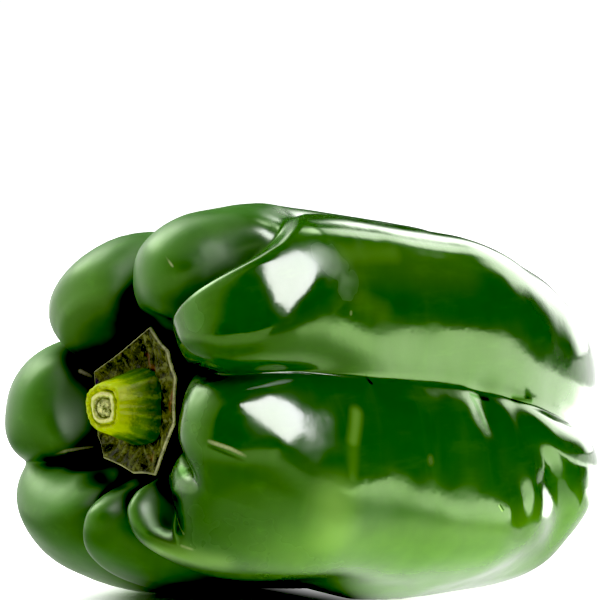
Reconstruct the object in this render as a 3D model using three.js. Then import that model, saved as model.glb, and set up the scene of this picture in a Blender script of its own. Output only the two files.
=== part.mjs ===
// A green bell pepper lying on its side, in millimetres, with +Z up.
// Its axis runs from the stem end, towards -X, to the blossom end, towards +X.
// Nine bulges swell between furrows round its shoulder, and four of those furrows run on to the blossom end.
import * as THREE from 'three';

const { clamp, degToRad, euclideanModulo, lerp, smoothstep } = THREE.MathUtils;

// Where the pepper lies: the axis is this high at the stem end, and falls towards the blossom end.
const AXIS_HEIGHT = 41.5;
const DROOP = degToRad(4.5);

// Meridians from the stem cavity to the blossom end: place along the axis, distance from it.
const CREST = [
  [4, 0], [4, 6.5], [3.5, 12], [1, 16.5], [-5.5, 20], [-9, 25.5], [-7.5, 33], [2, 39.5], [15.5, 42],
  [33, 41.5], [53.5, 40], [73.5, 38], [91, 34], [102, 26], [105.5, 16.5], [103, 8.5], [99.5, 3.5], [98.5, 0],
];
const VALLEY = [
  [4, 0], [4, 6.5], [4, 11], [3.5, 14.5], [2.5, 18], [1.5, 22], [3.5, 26.5], [9, 30], [18.5, 31.3],
  [35, 31.3], [53.5, 30.3], [72, 28.5], [86.5, 23.5], [95, 17], [97.5, 11], [98.5, 6.5], [98.5, 3], [98.5, 0],
];

// Furrows, anticlockwise as seen from the stem end, from the side facing -Y.
// Angles in degrees at the stem cavity, the shoulder, the middle and the blossom end.
// Depths at the same four stations: 1 is the full valley, 0 is none.
// The fade is the stretch of the meridian over which the shoulder's depth becomes the middle's.
const USUAL_FADE = [0.41, 0.52];
const furrow = (angles, depths, fade = USUAL_FADE) => ({ angles: angles.map(degToRad), depths, fade });
const FURROWS = [
  furrow([23, 14, 11, -19], [1.0, 0.8, 0.65, 0.8], [0.44, 0.52]),
  furrow([48, 51, 77, 68], [0.9, 0.9, 0.25, 0.0], [0.39, 0.49]),
  furrow([93, 96, 107, 105], [1.0, 1.0, 0.85, 0.8]),
  furrow([160, 159, 159, 155], [0.9, 0.9, 0.0, 0.2]),
  furrow([227, 206, 208, 200], [1.0, 0.5, 0.8, 0.9]),
  furrow([258, 258, 254, 246], [0.8, 0.75, 0.0, 0.1]),
  furrow([287, 284, 277, 272], [1.0, 1.0, 0.8, 0.8]),
  furrow([309, 307, 310, 308], [0.9, 0.8, 0.0, 0.1], [0.30, 0.41]),
  furrow([334, 334, 336, 336], [0.7, 0.5, 0.0, 0.0], [0.28, 0.37]),
];

// The lobe that follows each furrow: its girth at the shoulder, the middle and the blossom end, as a
// share of the meridian's, how far it stands out along the axis at either end, in millimetres, and how
// straight its walls are beside its first and its second furrow, from 0, arched, to 1.
const lobe = (girths, shoulderShift, tipShift, walls = [0, 0]) => ({
  girths,
  shoulderShift,
  tipShift,
  walls,
});
const LOBES = [
  lobe([0.985, 0.985, 0.905], -3.0, 4.2, [0, 1]),
  lobe([0.96, 0.955, 0.80], -3.5, -1.5),
  lobe([0.885, 0.9, 0.92], -2.8, -3.0),
  lobe([0.99, 0.98, 0.98], -0.8, -2.0),
  lobe([1.06, 0.98, 1.0], 0.0, -2.0),
  lobe([0.87, 0.98, 1.0], 0.0, 0.0),
  lobe([0.9, 1.07, 1.14], -1.5, 2.0),
  lobe([0.985, 1.05, 1.1], -5.0, 2.0),
  lobe([1.01, 1.01, 1.01], -1.5, 1.4),
];

// Stretches of a meridian, from 0 at the stem to 1 at the blossom end, over which the values above change.
const ANGLE_STRETCHES = [[0.2, 0.38], [0.43, 0.55], [0.55, 0.9]];
const SHOULDER_DEPTH_STRETCH = [0.26, 0.36];
const TIP_DEPTH_STRETCH = [0.62, 0.8];
const GIRTH_STRETCHES = [[0.5, 0.6], [0.62, 0.78]];
const SHOULDER_STRETCH = [0.3, 0.55];
const TIP_STRETCH = [0.6, 0.85];

// Distances from the axis over which a lobe's girth and its shifts come in.
const GIRTH_FADE = [11, 28];
const SHOULDER_FADE = [12, 24];
const TIP_FADE = [3, 14];

// A lobe's cross-section: a lower power makes a flatter crest and a tighter furrow.
const ARCH_POWER = 0.55;
// A straight wall ends at this share of the reach instead, and rises with this power.
const WALL_REACH = 0.4;
const WALL_POWER = 1.35;
const LEAST_REACH = 0.3;
// How round a furrow's floor is, as a share of the reach: at full depth, and where it fades out.
const DEEP_SOFTNESS = 0.017;
const SHALLOW_SOFTNESS = 0.36;

// Slanting hollows, and ridges where the depth is negative: both ends as place along the axis and angle in
// degrees, how far to the side they fall to 1/e, their depth, and the shares of their length over which
// they come in and go out.
const dent = ([fromPlace, fromAngle], [toPlace, toAngle], width, depth, fadeIn, fadeOut) => ({
  from: [fromPlace, degToRad(fromAngle)],
  to: [toPlace, degToRad(toAngle)],
  width,
  depth,
  fadeIn,
  fadeOut,
});
const DENTS = [
  dent([57, 8], [72, -30], 4.0, 1.3, [-0.1, 0.2], [0.75, 1.1]),
  dent([66, 5], [93, -46], 4.0, 1.6, [-0.1, 0.2], [0.75, 1.15]),
  dent([8, 47], [90, 41], 11.0, -7.0, [-0.25, 0.12], [0.6, 1.1]),
  dent([30, 72], [92, 70], 8.0, 1.5, [-0.1, 0.15], [0.8, 1.1]),
  dent([14, 58], [38, 78], 5.0, 1.3, [-0.2, 0.25], [0.6, 1.1]),
  dent([12, -31], [80, -33], 10.0, -5.5, [-0.2, 0.15], [0.75, 1.15]),
];
// The distance from the axis at which their angles are turned into widths.
const DENT_RADIUS = 33;

// How finely the fruit is cut: rings between the two ends, and columns in each lobe.
const FRUIT_RINGS = 64;
const LOBE_COLUMNS = 9;
const FIRST_RING = 0.06;
const LAST_RING = 0.97;

// The calyx, a thin dish with a cornered rim: each corner's angle in degrees and distance from the centre.
const CALYX_CORNERS = [
  [-14, 13.6], [23.3, 13.9], [47, 14.4], [75, 15.2], [160.3, 13.9],
  [216, 13.1], [235, 14.5], [276, 14.1], [301, 16.0],
];
const CALYX_EDGE_STEPS = 4;
const CALYX_EDGE_SAG = 0.25;
// Rings from the middle of the underside, round the rim, to the middle of the face: share of the outline,
// place along the axis.
const CALYX_PROFILE = [
  [0.0, 3.4], [0.45, 3.4], [0.75, 2.6], [0.97, 0.9], [1.0, 0.6], [1.0, 0.1], [0.95, -0.1],
  [0.86, 0.6], [0.7, 1.5], [0.55, 2.1], [0.0, 2.1],
];

// The stem, cut short: the corners of its cut face as angle in degrees and distance from the centre.
const STEM_CORNERS = [[3, 4.3], [55, 5.3], [108, 4.9], [152, 5.2], [200, 4.5], [250, 4.6], [318, 5.0]];
const STEM_COLUMNS = 28;
const STEM_CENTRE_HEIGHT = -1.5;
const STEM_BASE = 1.8;
const STEM_LENGTH = 9.0;
// Rings from the middle of the base up the side to the middle of the cut face: share of the length, scale.
const STEM_PROFILE = [
  [0.0, 0.0], [0.0, 1.5], [0.06, 1.58], [0.2, 1.46], [0.4, 1.34], [0.7, 1.16], [0.95, 1.02], [1.0, 0.95],
  [1.0, 0.78], [0.97, 0.74], [0.97, 0.7], [1.03, 0.64], [1.03, 0.5], [0.98, 0.44], [0.99, 0.0],
];
// The cut faces a little towards -Y.
const STEM_CUT_TURN = degToRad(10);

// A smooth curve through the points of a meridian.
const meridian = (points) => new THREE.SplineCurve(points.map((point) => new THREE.Vector2(...point)));
const crestCurve = meridian(CREST);
const valleyCurve = meridian(VALLEY);

// The value at s of something given at a few stations, with an even change on the stretch before each.
function alongMeridian(values, stretches, s) {
  return stretches.reduce(
    (value, [start, end], i) => value + (values[i + 1] - values[i]) * smoothstep(s, start, end),
    values[0],
  );
}

// Depth of a furrow at s along the meridian.
function furrowDepth({ depths, fade }, s) {
  return alongMeridian(depths, [SHOULDER_DEPTH_STRETCH, fade, TIP_DEPTH_STRETCH], s);
}

// How much of an arched slope is left at x, from 0 at the furrow to 1 where the slope ends.
const arch = (x) => 1 - (1 - (1 - x) ** 2) ** ARCH_POWER;

// How much of a furrow's slope is left at a share of the way to the lobe's other furrow.
// It takes half of that way beside an equal furrow, and all of it where the other one has faded.
function slope(share, depth, otherDepth, wall) {
  const reach = clamp(0.5 + 0.5 * (depth - otherDepth), LEAST_REACH, 1);
  const softness = lerp(DEEP_SOFTNESS, SHALLOW_SOFTNESS, (1 - depth) ** 2);
  const x = Math.min(Math.hypot(share / reach, softness), 1);
  const fall = Math.max(1 - x / WALL_REACH, 0) / (1 - softness / WALL_REACH);
  return depth * lerp(arch(x), arch(softness) * fall ** WALL_POWER, wall);
}

// A lobe's own sizes at a share of its width, eased from one lobe's middle to the next.
function lobeSizes(index, share, s) {
  const count = LOBES.length;
  const [before, t] = share < 0.5 ? [index + count - 1, share + 0.5] : [index, share - 0.5];
  const first = LOBES[before % count];
  const second = LOBES[(before + 1) % count];
  const ease = (1 - Math.cos(Math.PI * t)) / 2;
  return {
    girth: lerp(
      alongMeridian(first.girths, GIRTH_STRETCHES, s),
      alongMeridian(second.girths, GIRTH_STRETCHES, s),
      ease,
    ),
    shoulderShift: lerp(first.shoulderShift, second.shoulderShift, ease),
    tipShift: lerp(first.tipShift, second.tipShift, ease),
  };
}

// How deep a dent is at a place along the axis and an angle.
function dentDepth({ from, to, width, depth, fadeIn, fadeOut }, place, angle) {
  const start = new THREE.Vector2(from[0], from[1] * DENT_RADIUS);
  const line = new THREE.Vector2(to[0], to[1] * DENT_RADIUS).sub(start);
  const turned = euclideanModulo(angle + Math.PI, 2 * Math.PI) - Math.PI;
  const offset = new THREE.Vector2(place, turned * DENT_RADIUS).sub(start);
  const share = offset.dot(line) / line.lengthSq();
  const aside = offset.cross(line) / line.length();
  const ends = smoothstep(share, ...fadeIn) * (1 - smoothstep(share, ...fadeOut));
  return depth * ends * Math.exp(-((aside / width) ** 2));
}

// From place along the axis, distance and angle to the pepper's frame.
function lieDown(place, radius = 0, angle = 0) {
  const up = radius * Math.sin(angle);
  return new THREE.Vector3(
    place * Math.cos(DROOP) + up * Math.sin(DROOP),
    -radius * Math.cos(angle),
    up * Math.cos(DROOP) - place * Math.sin(DROOP) + AXIS_HEIGHT,
  );
}

// The fruit's skin at s along a meridian and at a share of one lobe's width.
// Whatever would reach below the surface that it lies on is pressed flat against it.
function skinPoint(s, index, share) {
  const left = FURROWS[index];
  const right = FURROWS[(index + 1) % FURROWS.length];
  const leftAngle = alongMeridian(left.angles, ANGLE_STRETCHES, s);
  const rightAngle = alongMeridian(right.angles, ANGLE_STRETCHES, s);
  const angle = leftAngle + share * euclideanModulo(rightAngle - leftAngle, 2 * Math.PI);
  const leftDepth = furrowDepth(left, s);
  const rightDepth = furrowDepth(right, s);
  const [leftWall, rightWall] = LOBES[index].walls;
  const depth = Math.max(
    slope(share, leftDepth, rightDepth, leftWall),
    slope(1 - share, rightDepth, leftDepth, rightWall),
  );
  const point = crestCurve.getPoint(s).lerp(valleyCurve.getPoint(s), depth);
  const sizes = lobeSizes(index, share, s);
  const radius = point.y * (1 + (sizes.girth - 1) * smoothstep(point.y, ...GIRTH_FADE));
  const atShoulder = (1 - smoothstep(s, ...SHOULDER_STRETCH)) * smoothstep(radius, ...SHOULDER_FADE);
  const shoulder = sizes.shoulderShift * atShoulder;
  const tip = sizes.tipShift * smoothstep(s, ...TIP_STRETCH) * smoothstep(radius, ...TIP_FADE);
  const place = point.x + tip - shoulder;
  const dented = DENTS.reduce((distance, item) => distance - dentDepth(item, place, angle), radius);
  const skin = lieDown(place, dented, angle);
  skin.z = Math.max(skin.z, 0);
  return skin;
}

// A closed surface through rings of equal length, from the blossom end's side towards the stem's, ended by
// one point on either side.
function closedSurface(firstPoint, rings, lastPoint) {
  const count = rings[0].length;
  const points = [firstPoint, ...rings.flat(), lastPoint];
  const last = points.length - 1;
  const at = (ring, column) => 1 + ring * count + (column % count);
  const triangles = [];
  for (let column = 0; column < count; column += 1) {
    triangles.push(0, at(0, column + 1), at(0, column));
    triangles.push(last, at(rings.length - 1, column), at(rings.length - 1, column + 1));
    for (let ring = 0; ring + 1 < rings.length; ring += 1) {
      const [a, b] = [at(ring, column), at(ring, column + 1)];
      const [c, d] = [at(ring + 1, column + 1), at(ring + 1, column)];
      const cutFromA = points[a].distanceTo(points[c]) < points[b].distanceTo(points[d]);
      triangles.push(...(cutFromA ? [a, b, c, a, c, d] : [a, b, d, b, c, d]));
    }
  }
  const geometry = new THREE.BufferGeometry().setFromPoints(points);
  geometry.setIndex(triangles);
  geometry.computeVertexNormals();
  return geometry;
}

// Columns stand closer together beside the furrows than on a lobe's crest.
function fruitGeometry() {
  const rings = [];
  for (let ring = 0; ring <= FRUIT_RINGS; ring += 1) {
    const s = lerp(LAST_RING, FIRST_RING, ring / FRUIT_RINGS);
    const points = [];
    for (let index = 0; index < LOBES.length; index += 1) {
      for (let column = 0; column < LOBE_COLUMNS; column += 1) {
        points.push(skinPoint(s, index, (1 - Math.cos((Math.PI * column) / LOBE_COLUMNS)) / 2));
      }
    }
    rings.push(points);
  }
  return closedSurface(skinPoint(1, 0, 0), rings, skinPoint(0, 0, 0));
}

// The calyx's outline about its centre: straight edges between the corners, sagging a little inwards.
function calyxOutline() {
  const corners = CALYX_CORNERS.map(([angle, radius]) => new THREE.Vector2(radius, 0).rotateAround(
    new THREE.Vector2(),
    degToRad(angle),
  ));
  return corners.flatMap((corner, i) => {
    const next = corners[(i + 1) % corners.length];
    return Array.from({ length: CALYX_EDGE_STEPS }, (_, step) => {
      const share = step / CALYX_EDGE_STEPS;
      const point = corner.clone().lerp(next, share);
      return point.setLength(point.length() - CALYX_EDGE_SAG * Math.sin(Math.PI * share));
    });
  });
}

// A flat outline set across the axis at the stem end, scaled about the axis.
function acrossAxis(outline, scale, place) {
  return outline.map((point) => lieDown(place, point.length() * scale, point.angle()));
}

function calyxGeometry() {
  const outline = calyxOutline();
  const rings = CALYX_PROFILE.slice(1, -1).map(([share, place]) => acrossAxis(outline, share, place));
  const [, under] = CALYX_PROFILE.at(0);
  const [, face] = CALYX_PROFILE.at(-1);
  return closedSurface(lieDown(under), rings, lieDown(face));
}

function stemGeometry() {
  const corners = STEM_CORNERS.map(([angle, radius]) => new THREE.Vector3(radius, 0, 0).applyAxisAngle(
    new THREE.Vector3(0, 0, 1),
    degToRad(angle),
  ));
  const loop = new THREE.CatmullRomCurve3(corners, true, 'centripetal');
  const section = loop.getPoints(STEM_COLUMNS).slice(0, -1);
  const rings = STEM_PROFILE.slice(1, -1).map(([share, scale]) => section.map((point) => {
    const lean = point.x * scale * Math.tan(STEM_CUT_TURN) * share;
    const place = STEM_BASE - STEM_LENGTH * share + lean;
    const set = new THREE.Vector2(point.x * scale, point.y * scale + STEM_CENTRE_HEIGHT);
    return lieDown(place, set.length(), set.angle());
  }));
  const middle = ([share]) => lieDown(STEM_BASE - STEM_LENGTH * share, STEM_CENTRE_HEIGHT, Math.PI / 2);
  return closedSurface(middle(STEM_PROFILE.at(0)), rings, middle(STEM_PROFILE.at(-1)));
}

function piece(name, geometry, color, roughness) {
  const mesh = new THREE.Mesh(geometry, new THREE.MeshStandardMaterial({ color, roughness, metalness: 0 }));
  mesh.name = name;
  return mesh;
}

// The origin is under the middle of the whole pepper, on the surface that it lies on.
const pepper = new THREE.Group();
pepper.add(
  piece('fruit', fruitGeometry(), 0x2f6414, 0.2),
  piece('calyx', calyxGeometry(), 0x33401c, 0.6),
  piece('stem', stemGeometry(), 0x8ca83a, 0.5),
);
const middle = new THREE.Box3().setFromObject(pepper).getCenter(new THREE.Vector3());
pepper.position.set(-middle.x, -middle.y, 0);

export default pepper;
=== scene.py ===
"""A green bell pepper lying on its side, with its wilted calyx and its cut stem, in a plain pale studio.

The pepper's axis runs from the stem end, towards -X, to the blossom end, towards +X, and +Z is up.
Shapes are worked out in millimetres, along and round that axis, and go into the meshes in metres.
"""

import logging
import math
from dataclasses import dataclass, field
from enum import Enum
from functools import reduce

import bpy
import numpy as np
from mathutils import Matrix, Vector


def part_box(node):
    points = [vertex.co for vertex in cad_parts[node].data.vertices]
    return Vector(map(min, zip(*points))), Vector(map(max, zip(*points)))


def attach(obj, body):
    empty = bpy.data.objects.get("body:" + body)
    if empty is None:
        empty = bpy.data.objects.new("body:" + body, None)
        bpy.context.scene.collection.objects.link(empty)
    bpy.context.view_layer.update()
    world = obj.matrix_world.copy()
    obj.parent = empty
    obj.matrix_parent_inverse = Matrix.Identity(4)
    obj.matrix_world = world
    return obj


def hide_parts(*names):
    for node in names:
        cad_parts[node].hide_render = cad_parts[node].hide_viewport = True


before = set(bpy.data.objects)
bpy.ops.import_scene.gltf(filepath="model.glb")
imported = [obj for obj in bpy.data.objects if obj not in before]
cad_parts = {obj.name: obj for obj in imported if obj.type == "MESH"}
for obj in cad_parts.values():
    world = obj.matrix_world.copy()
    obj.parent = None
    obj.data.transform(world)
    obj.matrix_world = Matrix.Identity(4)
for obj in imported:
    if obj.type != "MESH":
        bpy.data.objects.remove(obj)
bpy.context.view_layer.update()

LOG = logging.getLogger("pepper")
MM = 0.001
BODY = "root"
Socket = bpy.types.NodeSocket
Values = np.ndarray | float

# Short names for rows of numbers: a range, a range with what becomes of it, a colour, a place and edges
Pair = tuple[float, float]
Span = Pair
Ramp = tuple[float, ...]
Triple = tuple[float, float, float]
Colour = Triple
Spot = Triple
Four = tuple[float, float, float, float]
Edges = Four
WHITE: Colour = (1.0, 1.0, 1.0)


# Numbers
def smooth(x: np.ndarray, start: float, end: float) -> np.ndarray:
    """Rises from 0 at start to 1 at end as 3t^2 - 2t^3, where t is the share of the way.

    Args:
        x: Where to work it out.
        start: Where the rise starts.
        end: Where it ends.

    Returns:
        The rise at each x.
    """
    t = np.clip((x - start) / (end - start), 0.0, 1.0)
    return t * t * (3.0 - 2.0 * t)


def plateau(x: np.ndarray, edges: Edges) -> np.ndarray:
    """Rises smoothly from 0 to 1 between the first two edges, and falls back between the last two.

    Args:
        x: Where to work it out.
        edges: The four edges.

    Returns:
        The plateau's height at each x.
    """
    return smooth(x, *edges[:2]) * (1.0 - smooth(x, *edges[2:]))


def spline(points: np.ndarray, t: np.ndarray) -> np.ndarray:
    """Smooth curve through points spaced evenly in t, a cubic whose slope at a point is half the
    difference of its two neighbours.

    Args:
        points: One point to a row.
        t: Shares of the way, 0 to 1, in any array.

    Returns:
        The curve's points, in an array one dimension larger than t.
    """
    last = len(points) - 1
    x = np.clip(t, 0.0, 1.0) * last
    i = np.minimum(x.astype(int), last - 1)
    w = (x - i)[..., None]
    before, here = points[np.maximum(i - 1, 0)], points[i]
    there, after = points[i + 1], points[np.minimum(i + 2, last)]
    slope_here, slope_there = (there - before) / 2.0, (after - here) / 2.0
    cubic = 2.0 * here - 2.0 * there + slope_here + slope_there
    square = 3.0 * there - 3.0 * here - 2.0 * slope_here - slope_there
    return ((cubic * w + square) * w + slope_here) * w + here


def ring_spline(points: np.ndarray, t: np.ndarray) -> np.ndarray:
    """The same smooth curve as spline, closed on itself.

    Args:
        points: One point to a row.
        t: Shares of the way round, 0 to 1 once round.

    Returns:
        The curve's points.
    """
    looped = np.concatenate([points[-1:], points, points[:2]])
    last = len(looped) - 1
    return spline(looped, (1.0 + np.mod(t, 1.0) * len(points)) / last)


def staged(values: np.ndarray, stretches: tuple[Span, ...], s: np.ndarray) -> np.ndarray:
    """The value at s of something given at a few stations, with a smooth rise on the stretch before each.

    Args:
        values: Stations in the last axis, one more than there are stretches.
        stretches: Start and end of each change.
        s: Shares of the way along the axis.

    Returns:
        The first value, plus each change times its smooth rise.
    """
    value = values[..., 0]
    for station, (start, end) in enumerate(stretches):
        value = value + (values[..., station + 1] - values[..., station]) * smooth(s, start, end)
    return value


@dataclass(frozen=True)
class Ripple:
    """Uneven relief: sines of the place along many seeded directions, added and brought to one size.

    Attributes:
        seed: Seed of the directions and phases.
        waves: How many sines are added.
        shortest: Shortest wavelength, in mm.
        longest: Longest wavelength, in mm.
        height: Root mean square height, in mm.
    """

    seed: int
    waves: int
    shortest: float
    longest: float
    height: float

    def at(self, points: np.ndarray) -> np.ndarray:
        """The relief: height * sqrt(2 / waves) * the sum of sin(direction . point + phase).

        Args:
            points: Points, in mm.

        Returns:
            Its height there, in mm.
        """
        draw = np.random.default_rng(self.seed)
        directions = draw.normal(size=(self.waves, 3))
        directions /= np.linalg.norm(directions, axis=1, keepdims=True)
        lengths = draw.uniform(self.shortest, self.longest, self.waves)
        phases = draw.uniform(0.0, 2.0 * math.pi, self.waves)
        total = np.zeros(points.shape[:-1])
        for direction, length, phase in zip(directions, lengths, phases):
            total += np.sin(points @ direction * (2.0 * math.pi / length) + phase)
        return total * self.height * math.sqrt(2.0 / self.waves)


# Meshes
def new_object(name: str, data: bpy.types.ID) -> bpy.types.Object:
    """Adds an object to the scene.

    Args:
        name: Its name.
        data: What it holds: a mesh, a light or a camera.

    Returns:
        The object.
    """
    item = bpy.data.objects.new(name, data)
    bpy.context.scene.collection.objects.link(item)
    return item


def grid_normals(points: np.ndarray) -> np.ndarray:
    """The cross product of the differences along a grid and across it, brought to length 1.

    Args:
        points: A grid of points that is closed in its second axis.

    Returns:
        Outward normals.
    """
    along = np.gradient(points, axis=0)
    across = np.roll(points, -1, axis=1) - np.roll(points, 1, axis=1)
    normals = np.cross(along, across)
    return normals / (np.linalg.norm(normals, axis=-1, keepdims=True) + 1e-12)


def closed_mesh(name: str, first: np.ndarray, grid: np.ndarray, last: np.ndarray) -> bpy.types.Object:
    """A closed surface through rings of points in mm, ended by one point on either side.

    Quads join each ring to the next, and a fan of triangles closes each end.

    Args:
        name: Name of the object and its mesh.
        first: The point before the first ring.
        grid: Rings by columns by 3, turning clockwise as seen from the side of the first point.
        last: The point after the last ring.

    Returns:
        The object, at the origin, in metres, with smooth faces that point outwards.
    """
    rings, columns = grid.shape[:2]
    points = np.concatenate([[first], grid.reshape(-1, 3), [last]]) * MM
    index = 1 + np.arange(rings * columns).reshape(rings, columns)
    turned = np.roll(index, -1, axis=1)
    quads = np.stack([index[:-1], turned[:-1], turned[1:], index[1:]], axis=-1).reshape(-1, 4)
    start = np.stack([np.zeros(columns, int), turned[0], index[0]], axis=-1)
    end = np.stack([np.full(columns, len(points) - 1), index[-1], turned[-1]], axis=-1)
    mesh = bpy.data.meshes.new(name)
    mesh.from_pydata(points.tolist(), [], start.tolist() + quads.tolist() + end.tolist())
    mesh.shade_smooth()
    mesh.validate()
    return new_object(name, mesh)


def add_attribute(piece: bpy.types.Object, name: str, first: float, grid: np.ndarray, last: float) -> None:
    """Stores one number a point, in the order of closed_mesh, for the materials to read.

    Args:
        piece: The object that closed_mesh made.
        name: Name of the attribute.
        first: The number at the first point.
        grid: The numbers on the rings.
        last: The number at the last point.
    """
    layer = piece.data.attributes.new(name, "FLOAT", "POINT")
    layer.data.foreach_set("value", np.concatenate([[first], grid.ravel(), [last]]).astype(np.float32))


def triangles(piece: bpy.types.Object) -> int:
    """How many triangles a mesh comes to."""
    return sum(len(face.vertices) - 2 for face in piece.data.polygons)


# Nodes
def opaque(colour: object) -> object:
    """A colour as a socket takes it: a socket as it is, and plain numbers with an alpha of 1."""
    return colour if isinstance(colour, Socket) else (*colour, 1.0)


class Nodes:
    """Short ways to add nodes to one tree. Where a value is taken, it is a plain one or a socket.

    Attributes:
        tree: The node tree that the nodes go into.
    """

    def __init__(self, tree: bpy.types.NodeTree) -> None:
        """Keeps the tree."""
        self.tree = tree

    def feed(self, node: bpy.types.Node, inputs: dict) -> None:
        """Sets a node's inputs.

        Args:
            node: The node.
            inputs: Values by name or number: a plain value is set, and a socket is linked.
        """
        for key, value in inputs.items():
            if isinstance(value, Socket):
                self.tree.links.new(value, node.inputs[key])
            else:
                node.inputs[key].default_value = value

    def add(self, kind: str, inputs: dict | None = None, **settings: object) -> bpy.types.Node:
        """Adds a node.

        Args:
            kind: The node's type name.
            inputs: Its inputs, as feed takes them.
            settings: Other properties of the node.

        Returns:
            The node.
        """
        node = self.tree.nodes.new(kind)
        for key, value in settings.items():
            setattr(node, key, value)
        self.feed(node, inputs or {})
        return node

    def math(self, operation: str, *values: object, clamp: bool = False) -> Socket:
        """The result of a Math node on up to three values."""
        node = self.add("ShaderNodeMath", dict(enumerate(values)), operation=operation, use_clamp=clamp)
        return node.outputs[0]

    def plus(self, *values: object) -> Socket:
        """The sum of values."""
        return reduce(lambda total, value: self.math("ADD", total, value), values)

    def times(self, *values: object) -> Socket:
        """The product of values."""
        return reduce(lambda total, value: self.math("MULTIPLY", total, value), values)

    def most(self, *values: object) -> Socket:
        """The greatest of values."""
        return reduce(lambda total, value: self.math("MAXIMUM", total, value), values)

    def rest(self, share: object) -> Socket:
        """What a share leaves of 1."""
        return self.math("SUBTRACT", 1.0, share)

    def vector(self, operation: str, *values: object) -> bpy.types.Node:
        """A Vector Math node on up to three vectors."""
        return self.add("ShaderNodeVectorMath", dict(enumerate(values)), operation=operation)

    def spread(
        self, value: object, low: object, high: object, to_low: float = 0.0, to_high: float = 1.0
    ) -> Socket:
        """A value's smooth rise.

        Args:
            value: The value.
            low: Where the rise starts.
            high: Where it ends. This can be lower than where it starts.
            to_low: What the value becomes at the start and before it.
            to_high: What it becomes at the end and past it.

        Returns:
            What the value becomes.
        """
        inputs = {"Value": value, "From Min": low, "From Max": high, "To Min": to_low, "To Max": to_high}
        return self.add("ShaderNodeMapRange", inputs, interpolation_type="SMOOTHSTEP").outputs["Result"]

    def blend(self, share: object, first: object, second: object) -> Socket:
        """A mix of two colours.

        Args:
            share: How much of the second it is, held to 0..1.
            first: The first colour, a socket or plain numbers.
            second: The second.

        Returns:
            The mix.
        """
        node = self.add("ShaderNodeMix", data_type="RGBA", clamp_factor=True)
        number = {socket.name: i for i, socket in enumerate(node.inputs) if socket.enabled}
        self.feed(node, {number["Factor"]: share, number["A"]: opaque(first), number["B"]: opaque(second)})
        return next(socket for socket in node.outputs if socket.enabled)

    def between(self, share: object, first: object, second: object) -> Socket:
        """A mix of two numbers, with a share of the second."""
        return self.add("ShaderNodeMix", {"Factor": share, "A": first, "B": second}).outputs["Result"]

    def noise(self, place: object, scale: object, detail: float, roughness: float) -> Socket:
        """The value of a noise pattern at a place, with scale in cells to a metre."""
        inputs = {"Vector": place, "Scale": scale, "Detail": detail, "Roughness": roughness}
        return self.add("ShaderNodeTexNoise", inputs).outputs["Fac"]

    def stretched(self, place: object, scale: Triple) -> Socket:
        """A place scaled along each axis."""
        return self.add("ShaderNodeMapping", {"Vector": place, "Scale": scale}).outputs["Vector"]

    def bump(self, height: object, strength: float, distance: float) -> Socket:
        """A normal tilted by a height from 0 to 1, which stands for a distance in metres."""
        inputs = {"Height": height, "Strength": strength, "Distance": distance}
        return self.add("ShaderNodeBump", inputs).outputs["Normal"]

    def attribute(self, name: str) -> Socket:
        """A number stored on the mesh."""
        return self.add("ShaderNodeAttribute", attribute_name=name).outputs["Fac"]

    def group(self, tree: bpy.types.NodeTree, **inputs: object) -> bpy.types.Node:
        """Places a node group, with its inputs by name."""
        return self.add("ShaderNodeGroup", inputs, node_tree=tree)


@dataclass(frozen=True)
class Grain:
    """A noise pattern, with values round 0.5.

    Attributes:
        scale: Cells to a metre.
        detail: How many finer scales are added.
        roughness: How strong each finer one is.
        stretch: What the place is multiplied by along each axis.
    """

    scale: float
    detail: float = 2.0
    roughness: float = 0.5
    stretch: Triple | None = None

    def at(self, nodes: Nodes, place: Socket) -> Socket:
        """The pattern's value at a place."""
        place = nodes.stretched(place, self.stretch) if self.stretch else place
        return nodes.noise(place, self.scale, self.detail, self.roughness)


class SocketKind(Enum):
    """Kinds of socket on a node group."""

    NUMBER = "NodeSocketFloat"
    PLACE = "NodeSocketVector"


def new_group(
    name: str, takes: dict[str, SocketKind], gives: dict[str, SocketKind]
) -> tuple[Nodes, bpy.types.Node, bpy.types.Node]:
    """Starts a shader node group.

    Args:
        name: The group's name.
        takes: Its inputs.
        gives: Its outputs.

    Returns:
        Its nodes, its input node and its output node.
    """
    tree = bpy.data.node_groups.new(name, "ShaderNodeTree")
    for in_out, kinds in (("INPUT", takes), ("OUTPUT", gives)):
        for key, kind in kinds.items():
            tree.interface.new_socket(key, in_out=in_out, socket_type=kind.value)
    nodes = Nodes(tree)
    return nodes, nodes.add("NodeGroupInput"), nodes.add("NodeGroupOutput")


def scratch_group() -> bpy.types.NodeTree:
    """A mask that is 1 on a straight line between two places and fades to 0 at a width from it.

    With p the place, a the start and b the end, the nearest share is t = (p-a).(b-a) / |b-a|^2, held
    to 0..1, and the mask falls smoothly with the distance from p to a + t(b-a).

    Returns:
        The group.
    """
    takes = {key: SocketKind.PLACE for key in ("Place", "Start", "End")} | {"Width": SocketKind.NUMBER}
    nodes, given, result = new_group("scratch", takes, {"Mask": SocketKind.NUMBER})
    place, start, end, width = (given.outputs[key] for key in takes)
    line = nodes.vector("SUBTRACT", end, start).outputs[0]
    offset = nodes.vector("SUBTRACT", place, start).outputs[0]
    ahead, length_squared = (nodes.vector("DOT_PRODUCT", v, line).outputs["Value"] for v in (offset, line))
    share = nodes.math("DIVIDE", ahead, length_squared, clamp=True)
    nearest = nodes.add("ShaderNodeVectorMath", {0: line, "Scale": share}, operation="SCALE").outputs[0]
    distance = nodes.vector("DISTANCE", offset, nearest).outputs["Value"]
    nodes.feed(result, {"Mask": nodes.spread(distance, 0.0, width, 1.0, 0.0)})
    return nodes.tree


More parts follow.
